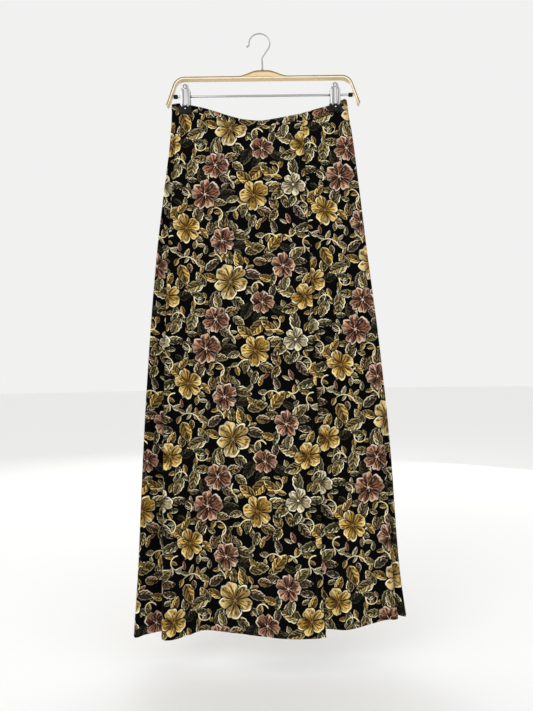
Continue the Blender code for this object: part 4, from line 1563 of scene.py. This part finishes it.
hanger = {
    "middle": 4.0,  # of the bar and the rod
    # bent bar
    "barTop": -83.5,
    "barThick": 6.6,
    "bendAt": 150.3,
    "bendRadius": 24.0,
    "splay": 19.0,
    "foot": -139.0,
    "rise": 11.0,
    "riseFlat": 8.0,
    "riseEnd": 48.0,
    "sideDeep": 5.76,  # half depth of the flat side, and its tone
    "sideTone": 0.5,
    "footDeep": (1.0, 0.995, 0.98, 0.95, 0.9, 0.84),  # shares of the depth as the foot closes
    "footClose": (0, 25, 45, 62, 76, 86),  # degrees of the half circle that closes it
    # section of the bar: down from its top, half depth, tone that paints its light and shade; then up from
    # its underside
    "topRows": (
        # paler tones on the top arris: painted light where it faces up
        (0.0, 2.2, 0.90),
        (0.04, 4.4, 0.92),
        (0.28, 5.5, 0.93),
        (0.65, 6.04, 0.94),
        (1.15, 6.22, 0.94),
        (1.75, 6.22, 0.90),
        # tones near 0 in the groove: the wood's dark layer line, with painted shade in it
        (1.98, 6.10, 0.10),
        (2.30, 5.86, 0.0),
        (2.90, 5.74, 0.0),
        (3.50, 5.78, 0.0),
    ),
    "lowRows": (
        (2.90, 5.90, 0.06),
        # tone 1 on the bead of the front face: a painted highlight
        (2.72, 6.12, 1.0),
        (2.40, 6.28, 1.0),
        (1.80, 6.32, 1.0),
        (1.10, 6.22, 1.0),
        # falling tones towards and on the underside: painted shade
        (0.60, 5.94, 0.72),
        (0.22, 5.40, 0.34),
        (0.05, 4.70, 0.26),
        (0.0, 3.40, 0.30),
        (0.0, 1.20, 0.30),
    ),
    # hook
    "hookRadius": 20.0,
    "hookCentre": (-2.0, -18.7),
    "hookFrom": -42.0,
    "hookTo": 190.0,
    "stemAt": 3.0,
    "stem": (-47.0, -72.6),
    "ferruleTop": -55.4,
    "wire": 1.3,
    "ferrule": 1.95,
    "thread": 1.15,
    "threadDepth": 0.28,
    "ball": 2.2,
    "ballWay": (-1.0, 0.0, -0.6),
    "ballFrom": 3.9,  # its middle, past the end of the wire's round
    # rod and caps: share of the length, radius
    "rodHeight": -121.3,
    "rodHalf": 163.3,
    "rodRows": (
        (0.0, 1.5),
        (0.0006, 2.0),
        (0.0016, 2.2),
        (0.5, 2.2),
        (0.9984, 2.2),
        (0.9994, 2.0),
        (1.0, 1.5),
    ),
    "capFrom": 163.6,
    "capTo": 171.6,
    "capRows": (
        (0.0, 2.5),
        (0.02, 3.2),
        (0.07, 3.65),
        (0.14, 3.8),
        (0.5, 3.8),
        (0.86, 3.8),
        (0.94, 3.6),
        (0.985, 3.2),
        (1.0, 2.4),
    ),
}


def barLine(look):
    # the underside's line and its normals: straight, round the bend, down the foot, then held while
    # the section closes over a half circle
    thick = look["barThick"]
    inner = look["bendRadius"] - thick
    bend = np.array([look["bendAt"], look["barTop"] - look["bendRadius"]])
    out, down = heading(look["splay"]), heading(look["splay"] - 90)
    leg = (bend[1] + inner * out[1] - look["foot"]) / -down[1]
    straight = np.concatenate([np.linspace(0, 52, 27), np.linspace(58, look["bendAt"], 14)])
    turned = heading(np.linspace(90, look["splay"], 14)[1:]).T
    lower = down * np.linspace(0, leg, 8)[1:-1, None]
    closing = leg + thick / 2 * np.sin(np.radians(look["footClose"]))
    line = np.concatenate(
        [
            np.stack([straight, 0 * straight + look["barTop"] - thick], 1),
            bend + turned * inner,
            bend + out * inner + lower,
            bend + out * inner + down * closing[:, None],
        ]
    )
    level = np.tile([0.0, 1.0], (len(straight), 1))
    return line, np.concatenate([level, turned, np.tile(out, (len(lower) + len(closing), 1))])


def makeBar(look):
    # the section, up from the underside's line and deep on both sides of the hanger's plane, carried
    # along the line and mirrored; each point keeps its run along the bar, its depth and its tone
    line, normal = barLine(look)
    thick, close = look["barThick"], np.radians(look["footClose"])
    whole = np.ones(len(line) - len(close))
    squeeze = np.concatenate([whole, np.cos(close)])
    narrow = np.concatenate([whole, look["footDeep"]])
    top = thick + look["rise"] * (1 - ease(line[:, 0], look["riseFlat"], look["riseEnd"]))
    tops, lows = np.array(look["topRows"]), np.array(look["lowRows"])
    side = np.array([0.75, 0.5, 0.25])
    edge = (top[:, None] - tops[-1, 0]) * side + lows[0, 0] * (1 - side)
    up = np.concatenate([top[:, None] - tops[:, 0], edge, np.tile(lows[:, 0], (len(top), 1))], 1)
    deep = np.concatenate([tops[:, 1], [look["sideDeep"]] * 3, lows[:, 1]])
    tone = np.concatenate([tops[:, 2], [look["sideTone"]] * 3, lows[:, 2]])
    up = thick / 2 + (up - thick / 2) * squeeze[:, None]
    place = line[:, None] + normal[:, None] * up[..., None]
    deep = deep[None] * narrow[:, None]
    front = np.stack([place[..., 0], -deep, place[..., 1]], -1)
    rings = np.concatenate([front, front[:, ::-1] * np.array([1, -1, 1])], 1)
    rings = np.concatenate([rings[:0:-1] * np.array([-1, 1, 1]), rings])
    run = along(line, 0)
    run = np.concatenate([-run[:0:-1], run])
    tone = np.concatenate([tone, tone[::-1]])
    marks = np.stack(np.broadcast_arrays(run[:, None], rings[..., 1], tone[None]), -1).reshape(-1, 3)
    points, faces = fromRings(rings + np.array([look["middle"], 0, 0]))
    return points, faces, {"grain": marks[faces]}


def makeHook(look):
    # stem with its threaded ferrule, the round of the hook and the small ball at its tip
    high, low = look["stem"]
    thin, stemAt = look["wire"], look["stemAt"]
    thread = np.linspace(low, look["ferruleTop"], 61)
    groove = look["threadDepth"] / 2 * (1 + np.cos(2 * np.pi * (thread - low) / look["thread"]))
    ridge = look["ferrule"] - groove
    ridge[0] = look["ferrule"] * 0.8
    angle = np.radians(np.linspace(look["hookFrom"], look["hookTo"], 60))
    centre = np.array([look["hookCentre"][0], 0.0, look["hookCentre"][1]])
    arc = centre + look["hookRadius"] * np.stack([np.cos(angle), 0 * angle, np.sin(angle)], 1)
    stem = np.array([(stemAt, 0.0, z) for z in (*thread, look["ferruleTop"] + 0.5, high)])
    neck = stem[-1] + (arc[0] - stem[-1]) * np.array([[0.3], [0.65]])
    t = np.linspace(-1, 1, 11)
    reach = look["ballFrom"] + look["ball"] * t * 0.98
    ball = arc[-1] + unit(np.array(look["ballWay"])) * reach[:, None]
    ballSize = look["ball"] * np.sqrt(np.maximum(1 - t**2, 0.012))
    ballSize[:2] = np.maximum(ballSize[:2], thin)
    wireSize = [thin] * (2 + len(neck) + len(arc))
    return wire([*stem, *neck, *arc, *ball], [*ridge, *wireSize, *ballSize])


def lathe(fromX, toX, rows):
    # circles along the rod's line: share of the way, radius
    share, radius = np.array(rows).T
    route = np.stack([fromX + (toX - fromX) * share, 0 * share, 0 * share + hanger["rodHeight"]], 1)
    return wire(route, radius, around=24)


clips = {
    "steps": 132,  # points round the outline
    "centres": {"left": -144.6, "right": 141.6},
    "bottom": -141.0,
    "eyeAt": -104.9,
    "eye": 3.1,
    "eyeRings": (0.0, 0.0, 0.0, 0.0, 0.05, 0.3, 0.6, 0.95),  # out from the eye's edge
    "tab": 6.5,
    "half": 9.8,
    "shoulders": (-106.0, -112.0),
    "face": 6.5,  # from the hanger's plane
    "roll": 2.4,
    "cheek": 0.5,  # how near the plane the sides come, above the cloth and beside it
    "lowCheek": 3.3,
    "cheekEnd": (-127.0, -130.0),
    "sheet": 0.8,
    "lip": 0.45,
    "rib": 0.55,
    "ribAt": 4.6,
    # rubber: width, depth, height, its near face, top, round
    "jaw": (24.0, 4.9, 15.4),
    "jawFrom": 2.3,
    "jawTop": -141.3,
    "jawRound": 1.3,
    "prongAt": 5.4,
    "prong": (3.4, 1.7, 5.2),
    "prongCentre": (6.85, -141.3),
    "prongRound": 0.6,
    "rivetAt": -147.4,
    "rivet": ((-0.3, 0.15, 0.42, 0.58, 0.64), (1.35, 1.35, 1.15, 0.75, 0.3)),  # depths, radii
}


woodLook = {
    # tone of the section, colour: the dark end for the groove's layer line and its painted shade, tan for
    # the painted shade of the underside, cream for the painted light on the top and near white for the
    # painted highlight on the bead
    "tones": (
        (0.0, (112, 74, 38)),
        (0.10, (172, 130, 84)),
        (0.28, (206, 182, 134)),
        (0.50, (232, 206, 160)),
        (0.82, (240, 224, 186)),
        (1.0, (250, 244, 224)),
    ),
    "streak": paint(150, 108, 62),
    "streakFade": 0.22,
    # painted shade of the hole round the stem in the bar's top: how far from the bar's middle
    "hole": paint(70, 42, 20),
    "holeAt": -1.0,
    "holeEdge": (3.2, 1.8),
    # the feet, along the bar
    "foot": paint(160, 116, 66),
    "footFade": 0.3,
    "footEdge": (200.0, 206.0),
}


def buildGrain():
    # streaks of wood that run with the bar: noise drawn out along it, shifted by the section's tone
    given, put = newGroup("grain", {"Place": "Vector"}, {"Streak": "Float"})
    run, around, tone = split(given["Place"])
    put(Streak=noise(join(run * 0.03, around * 0.9, tone), 1.6, 4.0, 0.65))


def makeWood(look):
    # tone by the place on the section, which paints the bar's light and shade, with darker streaks,
    # painted shade in the hole for the stem, darker feet
    lacquer = {"Roughness": 0.34, "Coat Weight": 0.35, "Coat Roughness": 0.18}
    material, tree, shader = newMaterial("paleWood", lacquer)
    place = attribute(tree, "grain")
    run, _, tone = split(place)
    streak = callGroup("grain", Place=place)["Streak"]
    # the section's tones: painted light and shade on the wood
    body = toneRamp(tone, look["tones"])
    dark = layered(body, (look["streakFade"], look["streak"]))
    fromHole = calc("ABSOLUTE", run - look["holeAt"])
    onTop = ramp(tone, 0.80, 0.88) * ramp(tone, 0.985, 0.955)
    foot = ramp(calc("ABSOLUTE", run), *look["footEdge"]) * look["footFade"]
    colour = layered(
        body,
        (ramp(streak, 0.46, 0.66), dark),
        # painted shade in the hole round the stem
        (ramp(fromHole, *look["holeEdge"]) * onTop, look["hole"]),
        (foot, look["foot"]),
    )
    plug(shader.inputs["Base Color"], colour)
    bumped(shader, streak, 0.2, 0.0002)
    return material


chromeLook = {
    "plain": paint(226, 226, 228),
    # across the pressed face: share of ten millimetres from its middle, colour. Brighter in the middle,
    # darker lines of painted shade and reflections beside the ribs, and a painted dark reflection at the
    # rolled edge
    "across": (
        (0.0, (238, 238, 238)),
        (0.17, (228, 228, 228)),
        (0.27, (150, 148, 150)),
        (0.46, (176, 174, 176)),
        (0.55, (92, 90, 92)),
        (0.64, (206, 206, 206)),
        (0.84, (226, 226, 226)),
        (0.97, (120, 118, 120)),
    ),
    # painted shadow line round the eye's lip
    "eyeRing": paint(60, 60, 62),
    # painted dark reflection along the rolled edge over the dome
    "domeEdgeReflection": paint(80, 78, 80),
}


def makeChrome(look):
    # polished steel with painted light and shade: tone by the distance from the clip's middle, with
    # painted shade and reflections beside the ribs, a ring of painted shadow round the eye, and a painted
    # dark reflection along the edge over the dome
    material, tree, shader = newMaterial("chrome", {"Roughness": 0.10, "Metallic": 1.0})
    x, height, own = split(attribute(tree, "pressed"))
    up = height - clips["eyeAt"]
    far = distance(x, up)
    fromEyeShadow = calc("ABSOLUTE", far - (clips["eye"] + 0.7))
    dome = ramp(far, clips["tab"] - 1.0, clips["tab"] - 0.3) * ramp(up, 0.0, 3.0)
    colour = layered(
        look["plain"],
        (own * ramp(height, -104.0, -112.0), toneRamp(calc("ABSOLUTE", x) / 10.0, look["across"])),
        (ramp(fromEyeShadow, 0.8, 0.3) * 0.9, look["eyeRing"]),
        (dome * 0.8, look["domeEdgeReflection"]),
    )
    plug(shader.inputs["Base Color"], colour)
    return material


def makeSteel():
    # wire drawn lengthways: fine noise, longer up and down
    looks = {"Base Color": paint(176, 176, 178), "Roughness": 0.26, "Metallic": 1.0}
    material, tree, shader = newMaterial("hookSteel", looks)
    drawn = addNode(tree, "Mapping", {"Vector": objectPlace(tree), "Scale": (900.0, 900.0, 120.0)})
    bumped(shader, noise(drawn, 1.0), 0.25, 0.0001)
    return material


def makeRubber():
    # matt black with a fine even roughness
    looks = {"Base Color": paint(8, 8, 9), "Roughness": 0.5, "Specular IOR Level": 0.2}
    material, tree, shader = newMaterial("blackRubber", looks)
    bumped(shader, noise(objectPlace(tree), 1400.0), 0.2, 0.0002)
    return material


buildGrain()
wood, chrome, steel, rubber = makeWood(woodLook), makeChrome(chromeLook), makeSteel(), makeRubber()
rodLook = {"Base Color": paint(186, 186, 188), "Roughness": 0.16, "Metallic": 1.0}
rodSteel = newMaterial("rodSteel", rodLook)[0]


def hangerPiece(name, parts, material, slotName, stands, corners=None):
    # a piece of one material, from its points and faces
    return finishPiece(name, *parts, [material], slotName, stands, corners=corners)


*bar, barMarks = makeBar(hanger)
hangerPiece("bentBar", bar, wood, "pale_wood", "hanger_bar", barMarks)
hangerPiece("wireHook", makeHook(hanger), steel, "hook_steel", "hanger_hook")
rodEnds = (hanger["middle"] + sign * hanger["rodHalf"] for sign in (-1, 1))
hangerPiece("clipRod", lathe(*rodEnds, hanger["rodRows"]), rodSteel, "chrome", "hanger_rod")
for side, sign in (("left", -1), ("right", 1)):
    capEnds = (hanger["middle"] + sign * hanger[end] for end in ("capFrom", "capTo"))
    cap = lathe(*capEnds, hanger["capRows"])
    hangerPiece(f"rodCap_{side}", cap, rubber, "black_rubber", f"rod_cap_{side}")
print("bar, hook and rod ready")

# clips: two pressed halves each, that close on rubber jaws


def clipOutline(look):
    # right half from the middle of the foot up the side and over the dome, and the left half mirrored
    tab, half, foot = look["tab"], look["half"], look["bottom"]
    high, low = look["shoulders"]
    corners = np.array([(0.0, foot), (half, foot), (half, low), (tab, high)])
    dome = heading(np.linspace(0, 90, 14)).T * tab + np.array([0.0, look["eyeAt"]])
    right = np.concatenate([corners, dome])
    outline = np.concatenate([right, right[-2::-1] * np.array([-1, 1])])
    length = along(outline, 0)
    at = np.linspace(0, length[-1], look["steps"], endpoint=False)
    return np.stack([np.interp(at, length, outline[:, k]) for k in range(2)], 1)


def clipFace(look):
    # places on the face in rings, from the eye's inner edge out to the outline: near the eye they are
    # circles, and from there on they go straight to the outline
    outline = clipOutline(look)
    eye = np.array([0.0, look["eyeAt"]])
    way = outline - eye
    ray = np.unwrap(np.arctan2(way[:, 1], way[:, 0]))
    even = ray[0] + np.arange(len(ray)) * 2 * np.pi / len(ray)
    angle = (ray + even) / 2
    aim = np.stack([np.cos(angle), np.sin(angle)], 1)
    near = [eye + aim * (look["eye"] + out) for out in look["eyeRings"]]
    share = np.linspace(0, 1, 23)[1:, None, None]
    return np.concatenate([np.array(near), near[-1] + (outline - near[-1]) * share])


def faceDepth(look, x, z):
    # distance of the face from the hanger's plane: rolled at its edge along a circle, with a lip round
    # the eye and two ribs down it, each exp(-(distance / width)^2)
    high, low = look["shoulders"]
    far = np.hypot(x, z - look["eyeAt"])
    wide = look["half"] + (look["tab"] - look["half"]) * np.clip((z - low) / (high - low), 0, 1)
    edge = np.where(z > look["eyeAt"], look["tab"] - far, wide - np.abs(x))
    rest = look["roll"] - np.clip(edge, 0, look["roll"])
    deep = look["face"] - look["roll"] + np.sqrt(look["roll"] ** 2 - rest**2)
    deep = deep + look["lip"] * np.exp(-(((far - look["eye"] - 0.6) / 0.45) ** 2))
    foot = look["bottom"]
    ribs = ease(z, foot + 0.5, foot + 4) * (1 - ease(z, low - 1.5, low + 3.5))
    return deep + look["rib"] * ribs * np.exp(-(((np.abs(x) - look["ribAt"]) / 0.75) ** 2))


def makeClipHalf(look):
    # the face, then back along the sides towards the other half, as a sheet with a thickness
    flat = clipFace(look)
    deep = faceDepth(look, flat[..., 0], flat[..., 1])
    # the four rings in the eye's edge step back from the face
    deep[:4] = np.array([0.3, 0.55, deep[4, 0] - 1.4, deep[4, 0] - 0.45])[:, None]
    grid = np.stack([flat[..., 0], deep, flat[..., 1]], -1)
    last = grid[-1]
    isFoot = last[:, 2] < look["bottom"] + 0.4
    span = ease(last[:, 2], *look["cheekEnd"][::-1])
    cheek = look["lowCheek"] + (look["cheek"] - look["lowCheek"]) * span
    cheek = np.where(isFoot, last[:, 1] - 0.5, cheek)
    back = np.array([0, 1, 0]) * (cheek - last[:, 1])[:, None]
    grid = np.concatenate([grid, np.array([last + back * t for t in (0.25, 0.5, 0.75, 1.0)])])
    wrapped = np.concatenate([grid[:, -1:], grid, grid[:, :1]], 1)
    normal = -gridNormals(wrapped)[:, 1:-1]
    rings = np.concatenate([grid, (grid - normal * look["sheet"])[::-1]])
    return fromRings(rings, isLoop=True)


def makeClip(look, centre, sign):
    # the pressed half with its two prongs and its rivet, and each point's place on it for its tones
    deep, height = look["prongCentre"]
    prongs = [(side * look["prongAt"], deep, height) for side in (-1, 1)]
    bits = [makeClipHalf(look)]
    bits += [roundedBox(place, look["prong"], look["prongRound"]) for place in prongs]
    bits.append(disc((0.0, look["jawFrom"] + look["jaw"][1], look["rivetAt"]), *look["rivet"]))
    points, faces = joined(bits)
    marks = np.stack([points[:, 0], points[:, 2], np.ones(len(points))], 1)[faces]
    if sign < 0:
        faces, marks = faces[:, ::-1], marks[:, ::-1]
    return points * np.array([1, sign, 1]) + np.array([centre, 0, 0]), faces, {"pressed": marks}


def makeJaw(look, centre, sign):
    # one rubber jaw
    deep = sign * (look["jawFrom"] + look["jaw"][1] / 2)
    height = look["jawTop"] - look["jaw"][2] / 2
    return roundedBox((centre, deep, height), look["jaw"], look["jawRound"])


for side, centre in clips["centres"].items():
    for face, sign in (("front", -1), ("back", 1)):
        *plate, marks = makeClip(clips, centre, sign)
        name = f"clip_{side}_{face}"
        hangerPiece(name + "_steel", plate, chrome, "chrome", name, marks)
        jaw = makeJaw(clips, centre, sign)
        hangerPiece(name + "_rubber", jaw, rubber, "black_rubber", f"clip_{side}_jaw_{face}")
print("clips ready")
